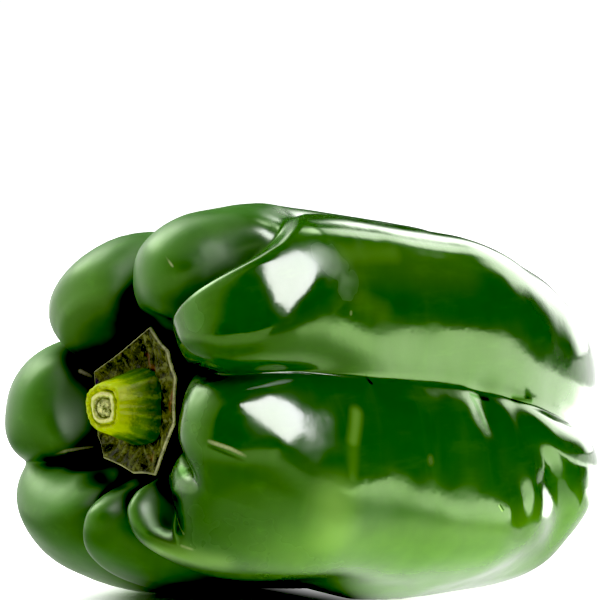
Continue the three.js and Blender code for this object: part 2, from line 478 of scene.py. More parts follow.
def mottle_group() -> bpy.types.NodeTree:
    """Uneven patches at two scales.

    With n the coarse noise times its share plus the fine noise times the rest, a patch is
    (n - 0.5) contrast + 0.5, held to 0..1.

    Returns:
        The group.
    """
    coarse_share, finer = 0.65, 5.3
    takes = {"Place": SocketKind.PLACE, "Scale": SocketKind.NUMBER, "Contrast": SocketKind.NUMBER}
    nodes, given, result = new_group("mottle", takes, {"Patches": SocketKind.NUMBER})
    place, scale, contrast = (given.outputs[key] for key in takes)
    coarse = nodes.noise(place, scale, detail=3.0, roughness=0.55)
    fine = nodes.noise(place, nodes.times(scale, finer), detail=2.0, roughness=0.6)
    mixed = nodes.plus(nodes.times(coarse, coarse_share), nodes.times(fine, 1.0 - coarse_share))
    centred = nodes.times(nodes.math("SUBTRACT", mixed, 0.5), contrast)
    nodes.feed(result, {"Patches": nodes.math("ADD", centred, 0.5, clamp=True)})
    return nodes.tree


@dataclass(frozen=True)
class SharedGroups:
    """Node groups that the finishes use.

    Attributes:
        scratch: Line-shaped masks.
        mottle: Uneven patches.
    """

    scratch: bpy.types.NodeTree
    mottle: bpy.types.NodeTree

    def patches(self, nodes: Nodes, place: Socket, scale: float, contrast: float) -> Socket:
        """Uneven patches from 0 to 1, with scale in cells to a metre."""
        return nodes.group(self.mottle, Place=place, Scale=scale, Contrast=contrast).outputs["Patches"]


def new_material(name: str) -> tuple[bpy.types.Material, Nodes, bpy.types.Node, Socket]:
    """Starts a material.

    Args:
        name: The material's name.

    Returns:
        The material, its nodes, its Principled BSDF and the Object coordinates.
    """
    material = bpy.data.materials.new(name)
    material.use_nodes = True
    nodes = Nodes(material.node_tree)
    shader = next(n for n in material.node_tree.nodes if n.type == "BSDF_PRINCIPLED")
    place = nodes.add("ShaderNodeTexCoord").outputs["Object"]
    return material, nodes, shader, place


# Finishes
class MarkKind(Enum):
    """What a mark on the skin looks like."""

    PALE_AND_PAINTED_GLINT = "pale"
    YELLOW_AND_PAINTED_LIGHT = "yellow"
    DARK_AND_PAINTED_SHADE = "dark"
    SMEAR = "smear"


@dataclass(frozen=True)
class Mark:
    """A mark on the skin, along a straight line that fades to its sides.

    Attributes:
        start: One end, in mm.
        end: The other end, in mm.
        width: How far to the side it reaches, in mm.
        strength: How strong it is on the line.
    """

    start: Spot
    end: Spot
    width: float
    strength: float

    def mask(self, nodes: Nodes, shared: SharedGroups, place: Socket) -> Socket:
        """Its mask.

        Args:
            nodes: The material's nodes.
            shared: The shared node groups.
            place: The Object coordinates.

        Returns:
            How strong the mark is at the place.
        """
        start, end = (tuple(v * MM for v in spot) for spot in (self.start, self.end))
        line = nodes.group(shared.scratch, Place=place, Start=start, End=end, Width=self.width * MM)
        return nodes.times(line.outputs["Mask"], self.strength)


def default_marks() -> dict[MarkKind, tuple[Mark, ...]]:
    """Scratches and ticks, yellow streaks, dark ticks, smears in the wax, and painted light and shade: a
    painted glint, painted highlights, a painted reflection, painted bounce light, painted dark reflections
    and painted shade.
    """
    return {
        MarkKind.PALE_AND_PAINTED_GLINT: (
            Mark((-56, -31, 37), (-53, -34, 35.6), 0.6, 1.0),
            Mark((-53, -34, 35.6), (-51, -36, 34.2), 0.6, 1.0),
            Mark((-51, -12, 70.4), (-51, -14, 68.6), 0.35, 0.8),
            Mark((-26, -37, 60), (-26, -37, 59.6), 0.5, 0.35),
            # Painted glint: a faint light spot on the lower lobe
            Mark((-9, -41, 31), (-9, -41, 30.4), 1.3, 0.16),
            Mark((-53, -17, 21.4), (-53, -20, 18.2), 0.5, 0.5),
            Mark((-53, -21, 19), (-52, -21, 16.2), 0.45, 0.6),
            Mark((-53, -19, 15.6), (-52, -21, 15), 0.45, 0.6),
            Mark((-49, 18, 46), (-47, 17, 45), 0.7, 0.6),
            Mark((-54, 22, 29.4), (-53, 17, 30.6), 0.5, 0.5),
            Mark((-53, 17, 30.6), (-49, 14, 31.4), 0.5, 0.5),
        ),
        MarkKind.YELLOW_AND_PAINTED_LIGHT: (
            # Painted reflection: a lighter yellow-green streak down the lower lobe
            Mark((-27, -40, 41), (-29, -41, 36), 2.4, 0.5),
            Mark((-29, -41, 36), (-30, -42, 29), 2.2, 0.2),
            Mark((-34, -42, 25), (-33, -41, 19), 8.0, 0.45),
            # Painted highlight: the faint, mottled spread of the window's highlight over the upper lobe
            Mark((-26, -36, 71), (-13, -35, 70.5), 4.5, 0.26),
            Mark((-23, -37, 62), (-18, -37, 59.5), 4.0, 0.14),
            Mark((-26, -36, 69), (5, -34, 66), 8.0, 0.1),
            Mark((9.6, -40, 20.2), (10.6, -40, 19), 0.3, 0.9),
            # Painted bounce light: lighter yellow-green low on a lobe near the floor
            Mark((-55, -15, 14), (-48, -24, 12), 5.0, 0.42),
            Mark((-53, 11, 60.7), (-53.5, 16.5, 55), 12.0, 0.1),
        ),
        MarkKind.DARK_AND_PAINTED_SHADE: (
            Mark((-56, -31, 36), (-51, -36, 33.2), 0.6, 0.7),
            Mark((10, -40, 20.4), (11, -40, 19.2), 0.35, 0.9),
            Mark((6, -37.3, 9.2), (7, -38.3, 10.6), 0.3, 0.7),
            # Painted dark reflections on the band under the upper lobe, by its furrow
            Mark((20, -33, 40), (25.5, -32, 39.2), 1.2, 0.9),
            Mark((7, -35, 41), (9, -37, 35), 1.5, 0.45),
            Mark((7, -35, 42.0), (12, -34, 40.4), 0.8, 0.8),
            Mark((-21, -36, 47.4), (-20, -36, 45.8), 0.6, 0.8),
            # Painted shade round the hollow at the stem end and in the creases beside it
            Mark((-53.5, -19, 30), (-52.5, -21, 30), 2.5, 0.7),
            Mark((-45, 10, 51), (-46, 7, 55), 5.0, 0.9),
            Mark((-45, -6, 55), (-49, -13, 62), 4.0, 0.45),
            Mark((-45, -10, 60), (-44, -18, 65), 3.0, 0.5),
            Mark((-53, 22, 28), (-48, 13, 32), 4.0, 0.95),
            Mark((-51, 9, 26), (-52, 2, 25), 4.5, 0.9),
            Mark((-48, -7, 29), (-54, -18, 25), 4.5, 0.9),
            Mark((-54.5, -15.5, 24.5), (-55, -17, 19.5), 5.0, 0.95),
        ),
        MarkKind.SMEAR: (
            Mark((-30, -36, 70.5), (-27.5, -37, 65), 6.5, 1.0),
            Mark((-52.5, -24, 46.5), (-56, -27.5, 40), 5.0, 1.2),
            Mark((-56, -27.5, 40), (-56.5, -27, 33), 5.0, 1.2),
            Mark((-53.5, -23.5, 59), (-53, -22, 63.5), 4.5, 1.2),
            Mark((-49, -18, 66), (-45, -18.5, 71), 3.5, 1.0),
        ),
    }


@dataclass(frozen=True)
class SkinFinish:
    """Waxy, glossy green skin.

    Ramps are the low and the high end of what they follow and, where they have four numbers, what they
    make of each end.

    Attributes:
        deep: Colour of the darkest patches.
        usual: Colour of most of the skin.
        pale: Colour of the streaks, the bands and the furrows.
        corky: Colour of healed scratches and of the blossom scar, also given to a small painted glint.
        yellow: Colour of the yellow streaks and ticks, and of painted highlights, a painted reflection and
            painted bounce light.
        low: Paler, yellower colour of the underside: painted bounce light from the floor.
        painted_shade_and_ticks: Painted shade: the near-black colour down in the stem's hollow, which also
            colours the painted shade marks and the dark ticks.
        sheen: Tint of what the wax mirrors straight on.
        patches: Scale and contrast of the patches.
        streaks: Fine streaks along the fruit.
        streak_share: How far their colour shows.
        bands: Wide bands round it.
        band_share: How far their colour shows.
        furrow_share: How far a furrow is paler.
        painted_underlight_heights: Heights between which the underside's painted bounce light comes in, in
            metres.
        painted_underlight_places: Places along X between which it comes in, in metres.
        painted_underlight_patches: How far the patches show through it.
        hollow_shade_share: How far the painted shade in the hollow shows.
        hollow_metal: How metallic the painted shade there is. A black metal mirrors next to nothing, so the
            painted shade also hides what the wax would mirror.
        grain: Grain of the corky skin.
        grain_share: How far it shows.
        smears: Uneven patches in the wax.
        wax: Roughness that they give.
        rough_corky: Roughness added where the skin is corky.
        rough_matt: Roughness added where the wax is matt.
        rough_hollow: Roughness added in the hollow.
        rough_smeared: Roughness added where the wax is smeared.
        smear_share: How far the patches in the wax show there.
        rough_furrow: Roughness added in a matt furrow.
        matt_furrow: How matt the wax is where that comes in.
        waves: Coarse part of the bump.
        pores: Fine part of the bump.
        pore_height: Its height beside the coarse part's.
        bump: Strength of the bump and its height in metres.
        ior: Index of refraction of the wax.
        specular: How strongly it mirrors.
        marks: The marks on it, painted light and shade among them.
    """

    deep: Colour = (0.015, 0.074, 0.003)
    usual: Colour = (0.021, 0.096, 0.004)
    pale: Colour = (0.045, 0.155, 0.009)
    corky: Colour = (0.42, 0.46, 0.20)
    yellow: Colour = (0.25, 0.47, 0.075)
    low: Colour = (0.070, 0.190, 0.010)
    painted_shade_and_ticks: Colour = (0.001, 0.004, 0.0005)
    sheen: Colour = (0.6, 1.0, 0.3)
    patches: Pair = (42.0, 2.6)
    streaks: Grain = Grain(340.0, 3.0, 0.6, (0.25, 1.0, 1.0))
    streak_share: Ramp = (0.5, 0.8, 0.0, 0.35)
    bands: Grain = Grain(210.0, 3.0, 0.6, (1.0, 0.22, 0.22))
    band_share: Ramp = (0.52, 0.8, 0.0, 0.25)
    furrow_share: Ramp = (0.3, 0.95, 0.0, 0.45)
    painted_underlight_heights: Span = (0.0225, 0.015)
    painted_underlight_places: Span = (-0.052, -0.036)
    painted_underlight_patches: Ramp = (0.0, 1.0, 0.6, 1.0)
    hollow_shade_share: float = 0.95
    hollow_metal: Ramp = (0.35, 0.85, 0.0, 0.85)
    grain: Grain = Grain(2600.0)
    grain_share: Ramp = (0.2, 0.6, 0.6, 1.0)
    smears: Grain = Grain(130.0, 2.0, 0.6)
    wax: Ramp = (0.3, 0.75, 0.0975, 0.195)
    rough_corky: float = 0.35
    rough_matt: float = 0.28
    rough_hollow: float = 0.5
    rough_smeared: float = 0.26
    smear_share: Ramp = (0.35, 0.6, 0.3, 1.0)
    rough_furrow: Ramp = (0.2, 0.7, 0.0, 0.3)
    matt_furrow: Span = (0.1, 0.35)
    waves: Grain = Grain(330.0)
    pores: Grain = Grain(1500.0)
    pore_height: float = 0.12
    bump: Pair = (0.5, 0.00006)
    ior: float = 1.5
    specular: float = 0.6
    marks: dict[MarkKind, tuple[Mark, ...]] = field(default_factory=default_marks)

    def material(self, shared: SharedGroups) -> bpy.types.Material:
        """Builds the material.

        Args:
            shared: The shared node groups.

        Returns:
            A Principled material whose colour follows patches, streaks along the fruit, the furrows, the
            marks, painted bounce light on the underside and painted shade in the stem's hollow. Where the
            painted shade is black it is metallic too, so that next to nothing shows mirrored there.
        """
        material, nodes, shader, place = new_material("skin")
        furrow, hollow, matt = (nodes.attribute(name) for name in ("furrow", "hollow", "matt"))
        masks = {
            kind: nodes.most(*(mark.mask(nodes, shared, place) for mark in marks))
            for kind, marks in self.marks.items()
        }
        # Scars, scratches and a painted glint turn corky
        pale = nodes.most(nodes.attribute("scar"), masks[MarkKind.PALE_AND_PAINTED_GLINT])
        grain = nodes.spread(self.grain.at(nodes, place), *self.grain_share)
        corky = nodes.math("MULTIPLY", pale, grain, clamp=True)
        smears = self.smears.at(nodes, place)
        rough = nodes.plus(
            nodes.spread(smears, *self.wax),
            nodes.times(corky, self.rough_corky),
            nodes.times(matt, self.rough_matt),
            nodes.times(hollow, self.rough_hollow),
            nodes.times(nodes.spread(furrow, *self.rough_furrow), nodes.spread(matt, *self.matt_furrow)),
            nodes.times(masks[MarkKind.SMEAR], nodes.spread(smears, *self.smear_share), self.rough_smeared),
        )
        pores = nodes.times(self.pores.at(nodes, place), self.pore_height)
        height = nodes.plus(self.waves.at(nodes, place), pores)
        colour = self.ground(nodes, shared, place, furrow)
        # Painted shade: the skin turns near black down in the stem's hollow
        colour = nodes.blend(nodes.times(hollow, self.hollow_shade_share), colour, self.painted_shade_and_ticks)
        # Yellow streaks and ticks, with painted highlights, a painted reflection and painted bounce light
        colour = nodes.blend(masks[MarkKind.YELLOW_AND_PAINTED_LIGHT], colour, self.yellow)
        # Dark ticks, painted shade and painted dark reflections
        colour = nodes.blend(masks[MarkKind.DARK_AND_PAINTED_SHADE], colour, self.painted_shade_and_ticks)
        nodes.feed(shader, {
            "Base Color": nodes.blend(corky, colour, self.corky),
            "Roughness": rough,
            # Painted shade is made metallic, so that it mirrors next to nothing
            "Metallic": nodes.most(nodes.spread(hollow, *self.hollow_metal), masks[MarkKind.DARK_AND_PAINTED_SHADE]),
            "Normal": nodes.bump(height, *self.bump),
            "IOR": self.ior,
            "Specular IOR Level": self.specular,
            "Specular Tint": opaque(self.sheen),
        })
        return material

    def ground(self, nodes: Nodes, shared: SharedGroups, place: Socket, furrow: Socket) -> Socket:
        """The skin's colour without its marks.

        Args:
            nodes: The material's nodes.
            shared: The shared node groups.
            place: The Object coordinates.
            furrow: Depth of the furrow.

        Returns:
            Patches, the underside's painted bounce light, streaks, bands and paler furrows, one over the
            other.
        """
        patches = shared.patches(nodes, place, *self.patches)
        axes = nodes.add("ShaderNodeSeparateXYZ", {"Vector": place}).outputs
        # Painted bounce light: the underside turns paler and yellower towards the floor
        low = nodes.times(
            nodes.spread(axes["Z"], *self.painted_underlight_heights),
            nodes.spread(axes["X"], *self.painted_underlight_places),
            nodes.spread(patches, *self.painted_underlight_patches),
        )
        colour = nodes.blend(patches, self.deep, self.usual)
        colour = nodes.blend(low, colour, self.low)
        streaks, bands = self.streaks.at(nodes, place), self.bands.at(nodes, place)
        paler = ((streaks, self.streak_share), (bands, self.band_share), (furrow, self.furrow_share))
        for pattern, share in paler:
            colour = nodes.blend(nodes.spread(pattern, *share), colour, self.pale)
        return colour


@dataclass(frozen=True)
class CalyxFinish:
    """Wilted, mottled leaf with a pale dried rim. Ramps are as in SkinFinish.

    Attributes:
        dark: Colour of the darkest patches.
        leaf: Colour of most of the leaf.
        olive: Colour of its lighter patches.
        vein: Colour of its raised veins.
        rust: Colour of the reddish-brown patches.
        rim: Colour of the dried edge.
        blotches: Scale and contrast of the large patches.
        flecks: Scale and contrast of the small ones.
        olive_flecks: Flecks at which a blotch turns olive.
        rusty: Pattern of the reddish-brown patches.
        rust_share: How far their colour shows.
        vein_flecks: How far a vein's colour shows, by the flecks.
        rim_flecks: How far the rim's colour shows, by the flecks.
        rough: Roughness, by the flecks.
        wrinkles: Pattern of the bump.
        blotch_height: How high a blotch stands beside that.
        bump: Strength of the bump and its height in metres.
        specular: How strongly the leaf mirrors.
    """

    dark: Colour = (0.004, 0.005, 0.001)
    leaf: Colour = (0.050, 0.054, 0.008)
    olive: Colour = (0.17, 0.19, 0.030)
    vein: Colour = (0.30, 0.33, 0.10)
    rust: Colour = (0.32, 0.13, 0.050)
    rim: Colour = (0.55, 0.56, 0.26)
    blotches: Pair = (420.0, 6.5)
    flecks: Pair = (950.0, 7.0)
    olive_flecks: Span = (0.3, 0.8)
    rusty: Grain = Grain(190.0, 2.0, 0.5, (1.0, 1.0, 0.8))
    rust_share: Ramp = (0.62, 0.72, 0.0, 0.8)
    vein_flecks: Ramp = (0.1, 0.7, 0.05, 0.45)
    rim_flecks: Ramp = (0.0, 0.4, 0.55, 1.0)
    rough: Ramp = (0.0, 1.0, 0.42, 0.75)
    wrinkles: Grain = Grain(1300.0, 3.0, 0.6)
    blotch_height: float = 0.6
    bump: Pair = (0.8, 0.00025)
    specular: float = 0.15

    def material(self, shared: SharedGroups) -> bpy.types.Material:
        """Builds the material.

        Args:
            shared: The shared node groups.

        Returns:
            A matte Principled material whose colour follows patches, veins and the rim.
        """
        material, nodes, shader, place = new_material("calyx")
        blotches = shared.patches(nodes, place, *self.blotches)
        flecks = shared.patches(nodes, place, *self.flecks)
        olive = nodes.times(nodes.spread(flecks, *self.olive_flecks), blotches)
        rusty = nodes.spread(self.rusty.at(nodes, place), *self.rust_share)
        vein = nodes.times(nodes.attribute("vein"), nodes.spread(flecks, *self.vein_flecks))
        rim = nodes.times(nodes.attribute("rim"), nodes.spread(flecks, *self.rim_flecks))
        colour = nodes.blend(blotches, self.dark, self.leaf)
        for share, over in ((olive, self.olive), (rusty, self.rust), (vein, self.vein), (rim, self.rim)):
            colour = nodes.blend(share, colour, over)
        height = nodes.plus(self.wrinkles.at(nodes, place), nodes.times(blotches, self.blotch_height))
        nodes.feed(shader, {
            "Base Color": colour,
            "Roughness": nodes.spread(flecks, *self.rough),
            "Normal": nodes.bump(height, *self.bump),
            "Specular IOR Level": self.specular,
        })
        return material


@dataclass(frozen=True)
class StemFinish:
    """Fleshy green stalk with a fibrous, yellow-green cut face. Ramps are as in SkinFinish.

    Attributes:
        foot: Colour at the foot.
        side: Colour of the side.
        lit: Brighter colour of the side near the cut: painted light.
        rib: Colour of the paler ribs.
        cut: Colour of the cut flesh.
        ring: Colour of the pale woody ring.
        groove: Colour of the grooves in the cut face.
        sheen: Tint of what the stem mirrors straight on.
        patches: Scale and contrast of the patches on the side.
        specks: Scale and contrast of the specks on the cut.
        uneven: How far the patches shift the colours up and down the side.
        side_rise: Shares of the height over which the side's colour comes in.
        lit_rise: Shares of the height over which the painted light comes in.
        rib_share: Where on a rib its colour comes in.
        rib_patches: How far it shows, by the patches.
        cut_specks: How far the specks show in the flesh.
        pith_reach: Shares of the cut's size between which it turns to pith.
        ring_specks: How far the ring's colour shows, by the specks.
        rough: Roughness, by the patches.
        fibres: Pattern of the bump.
        speck_height: How high the specks stand beside that.
        bump: Strength of the bump and its height in metres.
        specular: How strongly the stem mirrors.
        soak: How far light soaks into it.
        soak_reach: How far each colour of light reaches in, in mm.
    """

    foot: Colour = (0.022, 0.075, 0.004)
    side: Colour = (0.10, 0.22, 0.004)
    lit: Colour = (0.44, 0.56, 0.010)
    rib: Colour = (0.38, 0.54, 0.035)
    cut: Colour = (0.60, 0.68, 0.020)
    ring: Colour = (0.84, 0.86, 0.34)
    groove: Colour = (0.085, 0.12, 0.004)
    sheen: Colour = (0.75, 1.0, 0.2)
    patches: Pair = (420.0, 3.0)
    specks: Pair = (1100.0, 5.0)
    uneven: float = 0.3
    side_rise: Span = (0.10, 0.52)
    lit_rise: Span = (0.50, 0.88)
    rib_share: Span = (0.35, 1.0)
    rib_patches: Ramp = (0.3, 0.9, 0.05, 0.4)
    cut_specks: float = 0.45
    pith_reach: Span = (0.52, 0.44)
    ring_specks: Ramp = (0.0, 0.5, 0.6, 1.0)
    rough: Ramp = (0.0, 1.0, 0.34, 0.55)
    fibres: Grain = Grain(2400.0, 3.0, 0.6, (0.3, 1.0, 1.0))
    speck_height: float = 1.2
    bump: Pair = (0.7, 0.00018)
    specular: float = 0.25
    soak: float = 0.15
    soak_reach: Triple = (0.6, 1.0, 0.2)

    def material(self, shared: SharedGroups) -> bpy.types.Material:
        """Builds the material.

        Args:
            shared: The shared node groups.

        Returns:
            A satin Principled material coloured by the height up the stem, with painted light near the cut,
            its ribs and its cut face.
        """
        material, nodes, shader, place = new_material("stem")
        rise, rib, across, on_cut, groove, ring = (
            nodes.attribute(name) for name in ("rise", "rib", "across", "on_cut", "groove", "ring")
        )
        patches = shared.patches(nodes, place, *self.patches)
        specks = shared.patches(nodes, place, *self.specks)
        uneven = nodes.plus(rise, nodes.times(nodes.math("SUBTRACT", patches, 0.5), self.uneven))
        side = nodes.blend(nodes.spread(uneven, *self.side_rise), self.foot, self.side)
        # Painted light: the side brightens towards the cut
        side = nodes.blend(nodes.spread(uneven, *self.lit_rise), side, self.lit)
        pale = nodes.times(nodes.spread(rib, *self.rib_share), nodes.spread(patches, *self.rib_patches))
        side = nodes.blend(pale, side, self.rib)
        pith = nodes.blend(specks, self.groove, self.ring)
        face = nodes.blend(nodes.times(specks, self.cut_specks), self.cut, self.side)
        face = nodes.blend(nodes.spread(across, *self.pith_reach), face, pith)
        face = nodes.blend(nodes.times(ring, nodes.spread(specks, *self.ring_specks)), face, self.ring)
        face = nodes.blend(groove, face, self.groove)
        height = nodes.plus(self.fibres.at(nodes, place), nodes.times(specks, on_cut, self.speck_height))
        nodes.feed(shader, {
            "Base Color": nodes.blend(on_cut, side, face),
            "Roughness": nodes.spread(patches, *self.rough),
            "Normal": nodes.bump(height, *self.bump),
            "Specular IOR Level": self.specular,
            "Specular Tint": opaque(self.sheen),
            "Subsurface Weight": self.soak,
            "Subsurface Radius": self.soak_reach,
            "Subsurface Scale": MM,
        })
        return material


# Shapes
@dataclass(frozen=True)
class Axis:
    """The pepper's own axis: how it lies in the frame.

    Attributes:
        height: Height of the axis at the stem end, in mm.
        droop: How far the axis falls towards the blossom end, in degrees.
        shift: What puts the middle of the whole pepper over the origin, in mm.
    """

    height: float = 41.5
    droop: float = 4.5
    shift: Spot = (-49.185, 0.795, 0.0)

    def place(self, along: Values, radius: Values, angle: Values) -> np.ndarray:
        """From place along the axis, distance from it and angle round it to the frame.

        The angle is 0 towards -Y and 90 degrees upwards. The point up = radius sin(angle) and along are
        turned by the droop, and y = -radius cos(angle).

        Args:
            along: Places along the axis, in mm.
            radius: Distances from it, in mm.
            angle: Angles round it, in radians.

        Returns:
            Points, in mm.
        """
        turn = math.radians(self.droop)
        up = radius * np.sin(angle)
        x = along * math.cos(turn) + up * math.sin(turn)
        z = up * math.cos(turn) - along * math.sin(turn) + self.height
        return np.stack(np.broadcast_arrays(x, -radius * np.cos(angle), z), axis=-1) + np.array(self.shift)


@dataclass(frozen=True)
class Furrow:
    """A furrow between two lobes.

    Attributes:
        angles: Where it runs, in degrees, at the stem's hollow, the shoulder, the middle and the blossom end.
        depths: How deep it is there, 0 to 1.
        fade: The stretch over which the shoulder's depth becomes the middle's.
    """

    angles: Four
    depths: Four
    fade: Span = (0.41, 0.52)


@dataclass(frozen=True)
class Lobe:
    """A lobe between two furrows.

    Attributes:
        girths: How stout it is at the shoulder, the middle and the blossom end.
        shoulder: How far it stands out at the stem end, in mm.
        tip: How far it stands out at the blossom end, in mm.
        walls: How straight its walls are at its first and its second furrow, from 0, arched, to 1.
        matt: How matt the wax is at its shoulder, from 0, glossy, to 1.
    """

    girths: Triple
    shoulder: float
    tip: float
    walls: Pair = (0.0, 0.0)
    matt: float = 0.0


@dataclass(frozen=True)
class Dent:
    """A slanting hollow, or a ridge where its depth is negative.

    Attributes:
        start: Place along the axis in mm and angle in degrees.
        end: The same, at its other end.
        width: How far to the side it falls to 1/e, in mm.
        depth: How deep it is, in mm.
        fade: Shares of its length over which it comes in and goes out.
        radius: Distance from the axis at which its angles are turned into mm.
    """

    start: Pair
    end: Pair
    width: float
    depth: float
    fade: Edges
    radius: float = 33.0

    def at(self, along: np.ndarray, angle: np.ndarray) -> np.ndarray:
        """How deep it is: depth * ends * exp(-(aside / width)^2).

        Args:
            along: Places along the axis, in mm.
            angle: Angles round it, in radians.

        Returns:
            Its depth there, in mm.
        """
        start = np.array([self.start[0], math.radians(self.start[1]) * self.radius])
        line = np.array([self.end[0], math.radians(self.end[1]) * self.radius]) - start
        turned = np.mod(angle + math.pi, 2.0 * math.pi) - math.pi
        offset = np.stack([along - start[0], turned * self.radius - start[1]], axis=-1)
        length = float(np.hypot(*line))
        share = offset @ line / length**2
        aside = (offset[..., 0] * line[1] - offset[..., 1] * line[0]) / length
        return self.depth * plateau(share, self.fade) * np.exp(-((aside / self.width) ** 2))


def default_furrows() -> tuple[Furrow, ...]:
    """The nine furrows, anticlockwise as seen from the stem end, from the side that faces -Y."""
    return (
        Furrow((23, 14, 11, -19), (1.0, 0.8, 0.65, 0.8), (0.44, 0.52)),
        Furrow((48, 51, 77, 68), (0.9, 0.9, 0.25, 0.0), (0.39, 0.49)),
        Furrow((93, 96, 107, 105), (1.0, 1.0, 0.85, 0.8)),
        Furrow((160, 159, 159, 155), (0.9, 0.9, 0.0, 0.2)),
        Furrow((227, 206, 208, 200), (1.0, 0.5, 0.8, 0.9)),
        Furrow((258, 258, 254, 246), (0.8, 0.75, 0.0, 0.1)),
        Furrow((287, 284, 277, 272), (1.0, 1.0, 0.8, 0.8)),
        Furrow((309, 307, 310, 308), (0.9, 0.8, 0.0, 0.1), (0.30, 0.41)),
        Furrow((334, 334, 336, 336), (0.7, 0.5, 0.0, 0.0), (0.28, 0.37)),
    )


def default_lobes() -> tuple[Lobe, ...]:
    """The lobe that follows each furrow."""
    return (
        Lobe((0.985, 0.985, 0.905), -3.0, 4.2, walls=(0.0, 1.0)),
        Lobe((0.96, 0.955, 0.80), -3.5, -1.5, matt=0.9),
        Lobe((0.885, 0.9, 0.92), -2.8, -3.0, matt=1.0),
        Lobe((0.99, 0.98, 0.98), -0.8, -2.0, matt=1.0),
        Lobe((1.06, 0.98, 1.0), 0.0, -2.0, matt=1.1),
        Lobe((0.87, 0.98, 1.0), 0.0, 0.0, matt=0.9),
        Lobe((0.9, 1.07, 1.14), -1.5, 2.0, matt=0.7),
        Lobe((0.985, 1.05, 1.1), -5.0, 2.0, matt=0.5),
        Lobe((1.01, 1.01, 1.01), -1.5, 1.4),
    )


